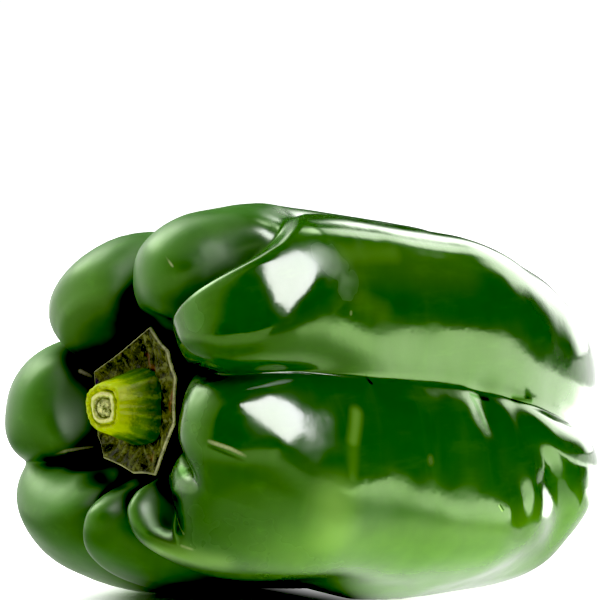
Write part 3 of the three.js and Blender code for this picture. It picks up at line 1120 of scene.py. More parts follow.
@dataclass(frozen=True)
class Fruit:
    """The fruit's skin: one closed surface of bulges between furrows.

    Stretches are shares of the way from the stem to the blossom end. Rises are in mm.

    Attributes:
        axis: How the pepper lies.
        crest: Meridian over a lobe, from the stem to the blossom end: place along the axis and distance
            from it, in mm.
        valley: Meridian along a full furrow.
        furrows: The furrows.
        lobes: The lobe after each furrow.
        dents: Hollows and ridges.
        ripples: Uneven relief.
        columns: Columns of points in each lobe.
        rows: Rings of points from the stem to the blossom end.
        arch_power: Power that shapes an arched lobe.
        wall_power: Power that shapes a straight wall.
        wall_reach: How far such a wall reaches over the lobe.
        softness: How round the floor of a full furrow is, and of a faded one.
        least_reach: How far the slope of the shallowest furrow reaches.
        angle_stretches: Where a furrow's angle changes.
        shoulder_depth_stretch: Where its depth changes into the shoulder's.
        tip_depth_stretch: Where it changes into the blossom end's.
        girth_stretches: Where a lobe's girth changes.
        shoulder_stretch: Where what it stands out at the stem end fades.
        tip_stretch: Where what it stands out at the blossom end comes in.
        girth_rise: Distances from the axis over which its girth comes in.
        shoulder_rise: The same, for what it stands out at the stem end.
        tip_rise: The same, for what it stands out at the blossom end.
        relief_edges: Where the relief comes in at the stem end and fades at the blossom end.
        scar_edge: Distances from the blossom end over which the scar fades.
        matt_fade: Where the matt wax fades.
        hollow_fade: Where the hollow ends.
        hollow_reach: How much further from the axis it reaches along a full furrow, in mm.
        hollow_rise: Distances from the axis over which it fades.
    """

    axis: Axis = Axis()
    crest: tuple[Pair, ...] = (
        (4, 0), (4, 6.5), (3.5, 12), (1, 16.5), (-5.5, 20), (-9, 25.5), (-7.5, 33), (2, 39.5), (15.5, 42),
        (33, 41.5), (53.5, 40), (73.5, 38), (91, 34), (102, 26), (105.5, 16.5), (103, 8.5), (99.5, 3.5),
        (98.5, 0),
    )
    valley: tuple[Pair, ...] = (
        (4, 0), (4, 6.5), (4, 11), (3.5, 14.5), (2.5, 18), (1.5, 22), (3.5, 26.5), (9, 30), (18.5, 31.3),
        (35, 31.3), (53.5, 30.3), (72, 28.5), (86.5, 23.5), (95, 17), (97.5, 11), (98.5, 6.5), (98.5, 3),
        (98.5, 0),
    )
    furrows: tuple[Furrow, ...] = field(default_factory=default_furrows)
    lobes: tuple[Lobe, ...] = field(default_factory=default_lobes)
    dents: tuple[Dent, ...] = (
        Dent((57, 8), (72, -30), 4.0, 1.3, (-0.1, 0.2, 0.75, 1.1)),
        Dent((66, 5), (93, -46), 4.0, 1.6, (-0.1, 0.2, 0.75, 1.15)),
        Dent((8, 47), (90, 41), 11.0, -7.0, (-0.25, 0.12, 0.6, 1.1)),
        Dent((30, 72), (92, 70), 8.0, 1.5, (-0.1, 0.15, 0.8, 1.1)),
        Dent((14, 58), (38, 78), 5.0, 1.3, (-0.2, 0.25, 0.6, 1.1)),
        Dent((12, -31), (80, -33), 10.0, -5.5, (-0.2, 0.15, 0.75, 1.15)),
    )
    ripples: tuple[Ripple, ...] = (Ripple(11, 14, 11.0, 26.0, 0.04), Ripple(12, 18, 4.5, 9.0, 0.012))
    columns: int = 30
    rows: int = 352
    arch_power: float = 0.55
    wall_power: float = 1.35
    wall_reach: float = 0.4
    softness: Pair = (0.017, 0.36)
    least_reach: float = 0.3
    angle_stretches: tuple[Span, ...] = ((0.2, 0.38), (0.43, 0.55), (0.55, 0.9))
    shoulder_depth_stretch: Span = (0.26, 0.36)
    tip_depth_stretch: Span = (0.62, 0.8)
    girth_stretches: tuple[Span, ...] = ((0.5, 0.6), (0.62, 0.78))
    shoulder_stretch: Span = (0.3, 0.55)
    tip_stretch: Span = (0.6, 0.85)
    girth_rise: Span = (11.0, 28.0)
    shoulder_rise: Span = (12.0, 24.0)
    tip_rise: Span = (3.0, 14.0)
    relief_edges: Edges = (0.0, 0.06, 0.97, 1.0)
    scar_edge: Span = (1.54, 2.2)
    matt_fade: Span = (0.43, 0.62)
    hollow_fade: Span = (0.46, 0.56)
    hollow_reach: float = 12.0
    hollow_rise: Span = (12.8, 20.0)

    def slope(self, share: np.ndarray, depth: np.ndarray, other: np.ndarray, wall: np.ndarray) -> np.ndarray:
        """How much of a furrow's slope is left at a share of the way to the lobe's other furrow.

        With x the share over the reach, an arch is 1 - (1 - (1 - x)^2)^arch_power and a straight wall
        falls from the same floor as (1 - x / wall_reach)^wall_power. The two are mixed by how straight the
        wall is, and multiplied by the depth. The reach is half of the way beside an equal furrow and all
        of it where the other one has faded. A shallow furrow has a rounder floor: x is the hypotenuse of
        that quotient and a softness that grows with the square of what the depth lacks.

        Args:
            share: Share of the way.
            depth: Depth of the furrow, 0 to 1.
            other: Depth of the lobe's other furrow.
            wall: How straight the wall is, 0 to 1.

        Returns:
            Depth that is left there.
        """
        reach = np.clip(0.5 + 0.5 * (depth - other), self.least_reach, 1.0)
        softness = self.softness[0] + (self.softness[1] - self.softness[0]) * (1.0 - depth) ** 2
        x = np.minimum(np.hypot(share / reach, softness), 1.0)
        arch, floor = (1.0 - (1.0 - (1.0 - t) ** 2) ** self.arch_power for t in (x, softness))
        fall = np.maximum(1.0 - x / self.wall_reach, 0.0) / (1.0 - softness / self.wall_reach)
        return depth * (arch + (floor * fall**self.wall_power - arch) * wall)

    def furrow_depth(self, number: np.ndarray, s: np.ndarray) -> np.ndarray:
        """Depth of furrows: the hollow's depth plus a smooth rise to each next station's.

        Args:
            number: Numbers of the furrows.
            s: Shares of the way from the stem to the blossom end.

        Returns:
            Their depths there.
        """
        depths = np.array([furrow.depths for furrow in self.furrows], float)[number]
        fades = np.array([furrow.fade for furrow in self.furrows], float)[number]
        steps = np.diff(depths, axis=-1)
        depth = depths[..., 0] + steps[..., 0] * smooth(s, *self.shoulder_depth_stretch)
        depth = depth + steps[..., 1] * smooth(s, fades[..., 0], fades[..., 1])
        return depth + steps[..., 2] * smooth(s, *self.tip_depth_stretch)

    def surface(self, s: np.ndarray, lobe: np.ndarray, share: np.ndarray) -> tuple[np.ndarray, ...]:
        """The skin at s along a meridian and at a share of each lobe's width.

        The point is the crest's moved towards the valley's by the furrow's depth, its distance from the
        axis is scaled by the lobe's girth, and its place is shifted at either end of the lobe. What a lobe
        has goes over into the next lobe's as half of 1 - cos, from the middle of one to the other's.

        Args:
            s: Share of the way from the stem to the blossom end.
            lobe: Number of the furrow before it.
            share: Share of the lobe's width.

        Returns:
            Points in the frame in mm, depth of the furrow from 0 to 1, how matt the wax is, and how far down
            in the stem's hollow the point is.
        """
        count = len(self.furrows)
        after = (lobe + 1) % count
        angles = np.radians(np.array([furrow.angles for furrow in self.furrows], float))
        left_angle, right_angle = (staged(angles[i], self.angle_stretches, s) for i in (lobe, after))
        left_depth, right_depth = (self.furrow_depth(i, s) for i in (lobe, after))
        angle = left_angle + share * np.mod(right_angle - left_angle, 2.0 * math.pi)
        walls = np.array([item.walls for item in self.lobes], float)[lobe]
        depth = np.maximum(
            self.slope(share, left_depth, right_depth, walls[..., 0]),
            self.slope(1.0 - share, right_depth, left_depth, walls[..., 1]),
        )
        crest, valley = spline(np.array(self.crest, float), s), spline(np.array(self.valley, float), s)
        point = crest + (valley - crest) * depth[..., None]

        traits = np.array([(*item.girths, item.shoulder, item.tip, item.matt) for item in self.lobes], float)
        first = np.where(share < 0.5, lobe - 1, lobe) % count
        ease = (1.0 - np.cos(math.pi * np.where(share < 0.5, share + 0.5, share - 0.5))) / 2.0
        one, two = traits[first], traits[(first + 1) % count]
        girth_one, girth_two = (staged(trait[..., :3], self.girth_stretches, s) for trait in (one, two))
        girth = girth_one + (girth_two - girth_one) * ease
        shoulder, tip, matt = ((one[..., k] + (two[..., k] - one[..., k]) * ease) for k in (3, 4, 5))
        radius = point[..., 1] * (1.0 + (girth - 1.0) * smooth(point[..., 1], *self.girth_rise))
        along = point[..., 0] + tip * smooth(s, *self.tip_stretch) * smooth(radius, *self.tip_rise)
        shoulder = shoulder * (1.0 - smooth(s, *self.shoulder_stretch))
        along = along - shoulder * smooth(radius, *self.shoulder_rise)
        for dent in self.dents:
            radius = radius - dent.at(along, angle)
        matt = matt * (1.0 - smooth(s, *self.matt_fade))
        hollow = 1.0 - smooth(radius - self.hollow_reach * depth, *self.hollow_rise)
        hollow = hollow * (1.0 - smooth(s, *self.hollow_fade))
        return self.axis.place(along, radius, angle), depth, matt, hollow

    def build(self) -> bpy.types.Object:
        """Makes the fruit's mesh, from the blossom end to the stem.

        Returns:
            The skin, with the furrows, the matt wax, the hollow and the scar stored on it.
        """
        s = np.linspace(1.0, 0.0, self.rows + 2)[1:-1, None]
        column = np.arange(len(self.furrows) * self.columns)[None, :]
        share = (1.0 - np.cos(math.pi * (column % self.columns) / self.columns)) / 2.0
        s, lobe, share = np.broadcast_arrays(s, column // self.columns, share)
        grid, depth, matt, hollow = self.surface(s, lobe, share)
        ends = [self.surface(np.array(end), np.array(0), np.array(0.0))[0] for end in (1.0, 0.0)]
        relief = sum(ripple.at(grid) for ripple in self.ripples) * plateau(s, self.relief_edges)
        grid = grid + grid_normals(grid) * relief[..., None]
        points = self.fit(np.concatenate([grid.reshape(-1, 3), np.array(ends)]))
        grid, blossom_end, stem_end = points[:-2].reshape(grid.shape), points[-2], points[-1]
        piece = closed_mesh("skin", blossom_end, grid, stem_end)
        scar = 1.0 - smooth(np.linalg.norm(grid - blossom_end, axis=-1), *self.scar_edge)
        add_attribute(piece, "furrow", 0.0, depth, 0.0)
        add_attribute(piece, "matt", 0.0, matt, 1.0)
        add_attribute(piece, "hollow", 0.0, hollow, 1.0)
        add_attribute(piece, "scar", 1.0, scar, 0.0)
        return piece

    def fit(self, points: np.ndarray) -> np.ndarray:
        """Presses the underside flat and keeps the skin inside the fruit's box.

        Args:
            points: The skin's points in the frame, in mm.

        Returns:
            The points, scaled along each axis where they would reach out of the box, and moved back in.
        """
        low, high = (np.array(corner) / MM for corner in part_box("fruit"))
        points[:, 2] = np.maximum(points[:, 2], low[2])
        middle = (points.min(axis=0) + points.max(axis=0)) / 2.0
        size = np.ptp(points, axis=0)
        scale = np.minimum((high - low) / size, 1.0)
        base = np.array([middle[0], middle[1], low[2]])
        half = size * scale / 2.0
        target = np.clip(middle, low + half, high - half)
        target[2] = low[2]
        LOG.info("skin: %s mm, scaled by %s to stay in its box", size.round(2), scale.round(4))
        return (points - base) * scale + target


@dataclass(frozen=True)
class Calyx:
    """The wilted calyx: a thin dish with a cornered rim.

    Attributes:
        axis: How the pepper lies.
        corners: Angle in degrees and distance from the centre of each corner, in mm.
        sag: How far the edges between corners sag inwards, in mm.
        profile: From the middle of the underside, round the rim, to the middle of the face: share of the
            way to the rim, and place along the axis in mm.
        folds: Crumpled relief of the leaf.
        fold_rise: Distances from the centre over which the folds come in, in mm.
        rim_rise: Shares of the way to the rim over which they calm down.
        rim_calm: How far they do.
        face_rise: Shares of the profile over which the underside becomes the face.
        dry_edge: Shares of the way to the rim over which the dried edge comes in.
        vein_widths: How far to the side a vein falls to 1/e, at a corner and between two corners, in mm.
        vein_height: How high a vein stands, in mm.
        vein_rise: Distances from the centre over which the veins come in, in mm.
        wander: How far a vein strays, in radians, how fast with the radius, and what sets each apart.
        columns: Points round the rim.
        rows: Rings from the underside to the face.
    """

    axis: Axis = Axis()
    corners: tuple[Pair, ...] = (
        (-14, 13.6), (23.3, 13.9), (47, 14.4), (75, 15.2), (160.3, 13.9),
        (216, 13.1), (235, 14.5), (276, 14.1), (301, 16.0),
    )
    sag: float = 0.25
    profile: tuple[Pair, ...] = (
        (0.02, 3.2), (0.45, 3.2), (0.75, 2.5), (0.95, 1.1), (1.0, 0.5), (1.0, 0.1), (0.965, -0.1),
        (0.92, 0.2), (0.82, 0.85), (0.7, 1.4), (0.55, 1.9), (0.3, 2.1), (0.02, 2.1),
    )
    folds: tuple[Ripple, ...] = (Ripple(21, 16, 3.0, 7.0, 0.22), Ripple(22, 20, 1.2, 2.6, 0.07))
    fold_rise: Span = (2.0, 7.0)
    rim_rise: Span = (0.9, 1.0)
    rim_calm: float = 0.6
    face_rise: Span = (0.47, 0.55)
    dry_edge: Span = (0.965, 0.99)
    vein_widths: Pair = (0.42, 0.26)
    vein_height: float = 0.28
    vein_rise: Span = (4.0, 8.0)
    wander: Triple = (0.09, 0.55, 2.4)
    columns: int = 288
    rows: int = 120

    def outline(self, turn: np.ndarray) -> np.ndarray:
        """The straight line between two corners, less the sag times the sine of the way along it.

        Args:
            turn: Angles, in radians.

        Returns:
            Distance of the rim from the centre, in mm.
        """
        angles = np.radians([corner[0] for corner in self.corners])
        reach = np.array([corner[1] for corner in self.corners])
        turned = np.mod(turn - angles[0], 2.0 * math.pi)
        starts = np.mod(angles - angles[0], 2.0 * math.pi)
        i = np.searchsorted(starts, turned, side="right") - 1
        j = (i + 1) % len(reach)
        gap = np.mod(starts[j] - starts[i], 2.0 * math.pi)
        past = turned - starts[i]
        line = reach[i] * reach[j] * np.sin(gap) / (reach[i] * np.sin(past) + reach[j] * np.sin(gap - past))
        return line - self.sag * np.sin(math.pi * past / gap)

    def build(self) -> bpy.types.Object:
        """Makes the calyx's mesh.

        Returns:
            The calyx, with its veins and its rim stored on it.
        """
        turn = np.linspace(0.0, 2.0 * math.pi, self.columns, endpoint=False)[None, :]
        q = np.linspace(0.0, 1.0, self.rows)[:, None]
        share, along = np.moveaxis(spline(np.array(self.profile, float), q), -1, 0)
        radius, along, turn = np.broadcast_arrays(share * self.outline(turn), along, turn)
        face = smooth(q, *self.face_rise)
        veins = self.veins(radius, turn) * face
        calm = 1.0 - self.rim_calm * smooth(share, *self.rim_rise)
        flat = self.axis.place(along, radius, turn)
        lift = sum(fold.at(flat) for fold in self.folds) * smooth(radius, *self.fold_rise) * calm
        grid = self.axis.place(along + lift * face - self.vein_height * veins, radius, turn)
        under, over = (self.axis.place(self.profile[k][1], 0.0, 0.0) for k in (0, -1))
        piece = closed_mesh("calyx_leaf", under, grid, over)
        edge = np.broadcast_to(smooth(share, *self.dry_edge), radius.shape)
        add_attribute(piece, "vein", 0.0, veins, 0.0)
        add_attribute(piece, "rim", 0.0, edge, 0.0)
        return piece

    def veins(self, radius: np.ndarray, turn: np.ndarray) -> np.ndarray:
        """Veins that run from the middle to each corner and between them.

        exp(-(aside / width)^2), where aside is the distance across the nearest vein, which wanders by a
        sine of the radius.

        Args:
            radius: Distances from the centre, in mm.
            turn: Angles, in radians.

        Returns:
            How far a point is up a vein, 0 to 1.
        """
        angles = [math.radians(corner[0]) for corner in self.corners]
        between = [a + (b - a) % (2.0 * math.pi) / 2.0 for a, b in zip(angles, angles[1:] + angles[:1])]
        at_corner, amid = self.vein_widths
        sway, pace, apart = self.wander
        total = np.zeros(radius.shape)
        lines = [(angle, at_corner) for angle in angles] + [(angle, amid) for angle in between]
        for number, (angle, width) in enumerate(lines):
            off = turn - angle - sway * np.sin(radius * pace + apart * number)
            total = np.maximum(total, np.exp(-((radius * np.sin(off) / width) ** 2)) * (np.cos(off) > 0.0))
        return total * smooth(radius, *self.vein_rise)


@dataclass(frozen=True)
class Stem:
    """The cut stem: a ribbed stalk that flares at its foot, with a ringed cut face.

    Attributes:
        axis: How the pepper lies.
        corners: Corners of the cut: angle in degrees and distance from its middle, in mm.
        centre: Height of the stem's middle above the axis, in mm.
        base: Place of the foot along the axis, in mm.
        length: Length, in mm.
        cut_turn: How far the cut faces towards -Y, in degrees.
        profile: From the foot to the middle of the cut: share of the length and scale of the section.
        cut_rise: Shares of the profile over which the side becomes the cut.
        ribs: How many ribs run up the side, and their height in mm.
        rib_rise: Shares of the length over which they come in.
        rib_wave: How uneven they are: size and count of a wave round the stem.
        rib_twist: How they stray up the stem and round it, and how fast up it.
        lumps: Relief of the cut.
        lump_depth: Third coordinate at which that is worked out, as a share of the first.
        ring_edges: Scales of the section between which the woody ring comes in and goes out.
        grooves: Scale, width and strength of the outer and the inner groove.
        groove_turn: How far round the cut from the first corner the outer groove is deepest, in radians.
        groove_rise: Cosines of the angle from there, between which it comes in.
        columns: Points round the section.
        rows: Rings from the foot to the middle of the cut.
    """

    axis: Axis = Axis()
    corners: tuple[Pair, ...] = (
        (3, 4.3), (55, 5.3), (108, 4.9), (152, 5.2), (200, 4.5), (250, 4.6), (318, 5.0),
    )
    centre: float = -1.5
    base: float = 1.8
    length: float = 9.0
    cut_turn: float = 10.0
    profile: tuple[Pair, ...] = (
        (0.0, 0.3), (0.0, 1.5), (0.06, 1.58), (0.2, 1.46), (0.4, 1.34), (0.6, 1.21), (0.8, 1.1), (0.95, 1.0),
        (0.995, 0.94), (1.0, 0.85), (0.985, 0.77), (0.955, 0.72), (0.985, 0.67), (1.02, 0.6), (1.02, 0.52),
        (0.975, 0.45), (0.955, 0.4), (0.99, 0.33), (1.0, 0.2), (0.99, 0.05),
    )
    cut_rise: Span = (0.42, 0.47)
    ribs: tuple[int, float] = (17, 0.13)
    rib_rise: Span = (0.05, 0.3)
    rib_wave: Pair = (1.2, 5.0)
    rib_twist: Triple = (0.5, 0.8, 3.0)
    lumps: Ripple = Ripple(31, 14, 0.9, 2.0, 0.08)
    lump_depth: float = 0.3
    ring_edges: Edges = (0.48, 0.53, 0.62, 0.67)
    grooves: tuple[Triple, Triple] = ((0.73, 0.035, 1.0), (0.41, 0.04, 0.85))
    groove_turn: float = 0.3
    groove_rise: Span = (0.1, 0.6)
    columns: int = 238
    rows: int = 190

    def rib(self, q: np.ndarray, angle: np.ndarray) -> np.ndarray:
        """Ribs up the side: half plus half the sine of their count times the angle, which strays by sines.

        Args:
            q: Shares of the profile.
            angle: How far round the section a point is from its first corner, in radians.

        Returns:
            How far a point is up a rib, 0 to 1.
        """
        up, around, pace = self.rib_twist
        size, count = self.rib_wave
        stray = up * np.sin(pace * q + angle) + around * np.sin(2.0 * angle) + size * np.sin(count * angle)
        return 0.5 + 0.5 * np.sin(self.ribs[0] * angle + stray)

    def groove(self, scale: np.ndarray, angle: np.ndarray) -> np.ndarray:
        """Grooves in the cut: strength * exp(-((scale - place) / width)^2), the outer one on one side.

        Args:
            scale: Scales of the section.
            angle: How far round the section a point is from its first corner, in radians.

        Returns:
            How far a point is in a groove, 0 to 1.
        """
        outer, inner = (deep * np.exp(-(((scale - at) / width) ** 2)) for at, width, deep in self.grooves)
        return outer * smooth(np.cos(angle - self.groove_turn), *self.groove_rise) + inner

    def build(self) -> bpy.types.Object:
        """Makes the stem's mesh.

        Returns:
            The stem, with its height, ribs, rings and grooves stored on it.
        """
        turn = np.linspace(0.0, 1.0, self.columns, endpoint=False)[None, :]
        angle = 2.0 * math.pi * turn
        degrees, reach = np.hsplit(np.array(self.corners, float), 2)
        bearings = np.radians(degrees)
        section = ring_spline(reach * np.hstack([np.cos(bearings), np.sin(bearings)]), turn)
        q = np.linspace(0.0, 1.0, self.rows)[:, None]
        share, scale = np.moveaxis(spline(np.array(self.profile, float), q), -1, 0)
        cut = smooth(q, *self.cut_rise)
        rib = self.rib(q, angle)
        height = self.ribs[1] * (rib - 0.5) * smooth(share, *self.rib_rise) * (1.0 - cut)
        stretch = scale * (1.0 + height / np.linalg.norm(section, axis=-1))
        across = section * stretch[..., None]
        lean = across[..., 0] * math.tan(math.radians(self.cut_turn)) * share
        deep = np.concatenate([across, across[..., :1] * self.lump_depth], axis=-1)
        along = self.base - self.length * share + lean + self.lumps.at(deep) * cut
        y, z = across[..., 0], across[..., 1] + self.centre
        grid = self.axis.place(along, np.hypot(y, z), np.arctan2(z, y))
        foot, top = (
            self.axis.place(self.base - self.length * self.profile[k][0], abs(self.centre), -math.pi / 2.0)
            for k in (0, -1)
        )
        piece = closed_mesh("stem_stalk", foot, grid, top)
        stored = {
            "rise": np.clip(share, 0.0, 1.0),
            "rib": rib * (1.0 - cut),
            "across": scale,
            "on_cut": cut,
            "ring": plateau(scale, self.ring_edges) * cut,
            "groove": self.groove(scale, angle) * cut,
        }
        for name, value in stored.items():
            full = np.broadcast_to(value, rib.shape)
            add_attribute(piece, name, full[0, 0], full, full[-1, 0])
        return piece


# Studio
def towards(azimuth: float, elevation: float) -> Vector:
    """Direction from the pepper to a place in the studio.

    Args:
        azimuth: Degrees from -Y, positive towards +X.
        elevation: Degrees above level.

    Returns:
        A unit vector.
    """
    a, e = math.radians(azimuth), math.radians(elevation)
    return Vector((math.sin(a) * math.cos(e), -math.cos(a) * math.cos(e), math.sin(e)))


def mirrored_piece(name: str, points: list, faces: list) -> tuple[bpy.types.Object, Nodes]:
    """A piece of the studio that is only seen mirrored.

    Args:
        name: Its name.
        points: Its corners, in metres.
        faces: Numbers of the corners of each face.

    Returns:
        The piece, and the nodes of its material, which is still empty.
    """
    mesh = bpy.data.meshes.new(name)
    mesh.from_pydata(points, [], faces)
    piece = new_object(name, mesh)
    material = bpy.data.materials.new(name)
    material.use_nodes = True
    material.node_tree.nodes.clear()
    mesh.materials.append(material)
    for kind in ("camera", "diffuse", "transmission", "volume_scatter", "shadow"):
        setattr(piece, f"visible_{kind}", False)
    return piece, Nodes(material.node_tree)


@dataclass(frozen=True)
class Lamp:
    """A soft rectangular lamp that only lights surfaces.

    Attributes:
        name: Its name.
        azimuth: How far round it stands, in degrees from -Y.
        elevation: How high it stands, in degrees above level.
        distance: How far off, in metres.
        size: Width and height, in metres.
        power: Power in watts.
    """

    name: str
    azimuth: float
    elevation: float
    distance: float
    size: Pair
    power: float

    def build(self, target: Vector) -> bpy.types.Object:
        """Makes the lamp.

        Args:
            target: What it is turned towards, in metres.

        Returns:
            The lamp, which neither shows nor is mirrored.
        """
        light = bpy.data.lights.new(self.name, "AREA")
        light.shape = "RECTANGLE"
        light.size, light.size_y = self.size
        light.energy = self.power
        lamp = new_object(self.name, light)
        lamp.location = target + towards(self.azimuth, self.elevation) * self.distance
        lamp.rotation_euler = (target - lamp.location).to_track_quat("-Z", "Y").to_euler()
        lamp.visible_camera = False
        lamp.visible_glossy = False
        return lamp


@dataclass(frozen=True)
class Card:
    """A flat card that is only seen mirrored in the pepper: a bright one, or a black one.

    Attributes:
        name: Its name.
        corners: Its corners as azimuth, elevation and distance from the pepper, going round.
        brightness: How bright it is, where 1 is white paper.
        colour: Its colour.
    """

    name: str
    corners: tuple[Triple, ...]
    brightness: float
    colour: Colour = WHITE

    def build(self, target: Vector) -> bpy.types.Object:
        """Makes the card.

        Args:
            target: What its corners are measured from, in metres.

        Returns:
            The card, one polygon.
        """
        points = [target + towards(around, above) * distance for around, above, distance in self.corners]
        card, nodes = mirrored_piece(self.name, points, [tuple(range(len(points)))])
        glow = nodes.add("ShaderNodeEmission", {"Color": opaque(self.colour), "Strength": self.brightness})
        nodes.add("ShaderNodeOutputMaterial", {"Surface": glow.outputs[0]})
        return card


@dataclass(frozen=True)
class Glow:
    """A soft-edged bright patch of the room round the pepper, as the skin mirrors it.

    Attributes:
        azimuths: Degrees from -Y where it starts, is full, starts to fade and ends.
        elevations: The same above level.
        brightness: How bright it is, where 1 is white paper.
    """

    azimuths: Edges
    elevations: Edges
    brightness: float

    def at(self, azimuth: np.ndarray, elevation: np.ndarray) -> np.ndarray:
        """Its brightness: a smooth rise and fall in azimuth times the same in elevation.

        Args:
            azimuth: Degrees from -Y.
            elevation: Degrees above level.

        Returns:
            Its brightness in those directions.
        """
        turned = np.mod(azimuth - self.azimuths[0], 360.0) + self.azimuths[0]
        return self.brightness * plateau(turned, self.azimuths) * plateau(elevation, self.elevations)


@dataclass(frozen=True)
class Surround:
    """A wide paper dome round the studio, lit in soft patches, that is only seen mirrored.

    Attributes:
        radius: Its radius, in metres.
        top: Elevation at which it ends, in degrees.
        glows: The patches.
        steps: Points round it and up it.
    """

    radius: float = 2.6
    top: float = 85.0
    glows: tuple[Glow, ...] = (
        Glow((-215.0, -180.0, -150.0, -75.0), (-40.0, -15.0, 40.0, 75.0), 2.5),
        Glow((-150.0, -115.0, -76.0, -57.0), (-40.0, -15.0, 58.0, 76.0), 1.4),
        Glow((90.0, 104.0, 120.0, 132.0), (-20.0, -14.0, 10.0, 16.0), 4.5),
        Glow((76.0, 84.0, 124.0, 132.0), (10.0, 16.0, 30.0, 36.0), 6.2),
        Glow((89.0, 96.0, 106.0, 114.0), (30.0, 35.0, 45.0, 52.0), 6.0),
        Glow((84.0, 90.0, 108.0, 118.0), (53.0, 57.0, 66.0, 72.0), 10.0),
        Glow((160.0, 180.0, 210.0, 230.0), (25.0, 35.0, 50.0, 60.0), 8.0),
    )
    steps: tuple[int, int] = (240, 60)

    def build(self, target: Vector) -> bpy.types.Object:
        """Makes the dome.

        Args:
            target: Its middle, in metres.

        Returns:
            The dome, see-through, with its brightness stored on it.
        """
        round_it = np.linspace(-180.0, 180.0, self.steps[0], endpoint=False)
        azimuth, elevation = np.meshgrid(round_it, np.linspace(0.0, self.top, self.steps[1]), indexing="ij")
        a, e = np.radians(azimuth), np.radians(elevation)
        directions = np.stack([np.sin(a) * np.cos(e), -np.cos(a) * np.cos(e), np.sin(e)], axis=-1)
        points = (directions * self.radius + np.array(target)).reshape(-1, 3)
        index = np.arange(len(points)).reshape(self.steps)
        turned = np.roll(index, -1, axis=0)
        quads = np.stack([index[:, :-1], index[:, 1:], turned[:, 1:], turned[:, :-1]], axis=-1).reshape(-1, 4)
        dome, nodes = mirrored_piece("surround", points.tolist(), quads.tolist())
        brightness = sum(glow.at(azimuth, elevation) for glow in self.glows)
        layer = dome.data.attributes.new("glow", "FLOAT", "POINT")
        layer.data.foreach_set("value", brightness.ravel().astype(np.float32))
        light = nodes.add("ShaderNodeEmission", {"Color": opaque(WHITE), "Strength": nodes.attribute("glow")})
        clear = nodes.add("ShaderNodeBsdfTransparent")
        both = nodes.add("ShaderNodeAddShader", {0: light.outputs[0], 1: clear.outputs[0]})
        nodes.add("ShaderNodeOutputMaterial", {"Surface": both.outputs[0]})
        return dome


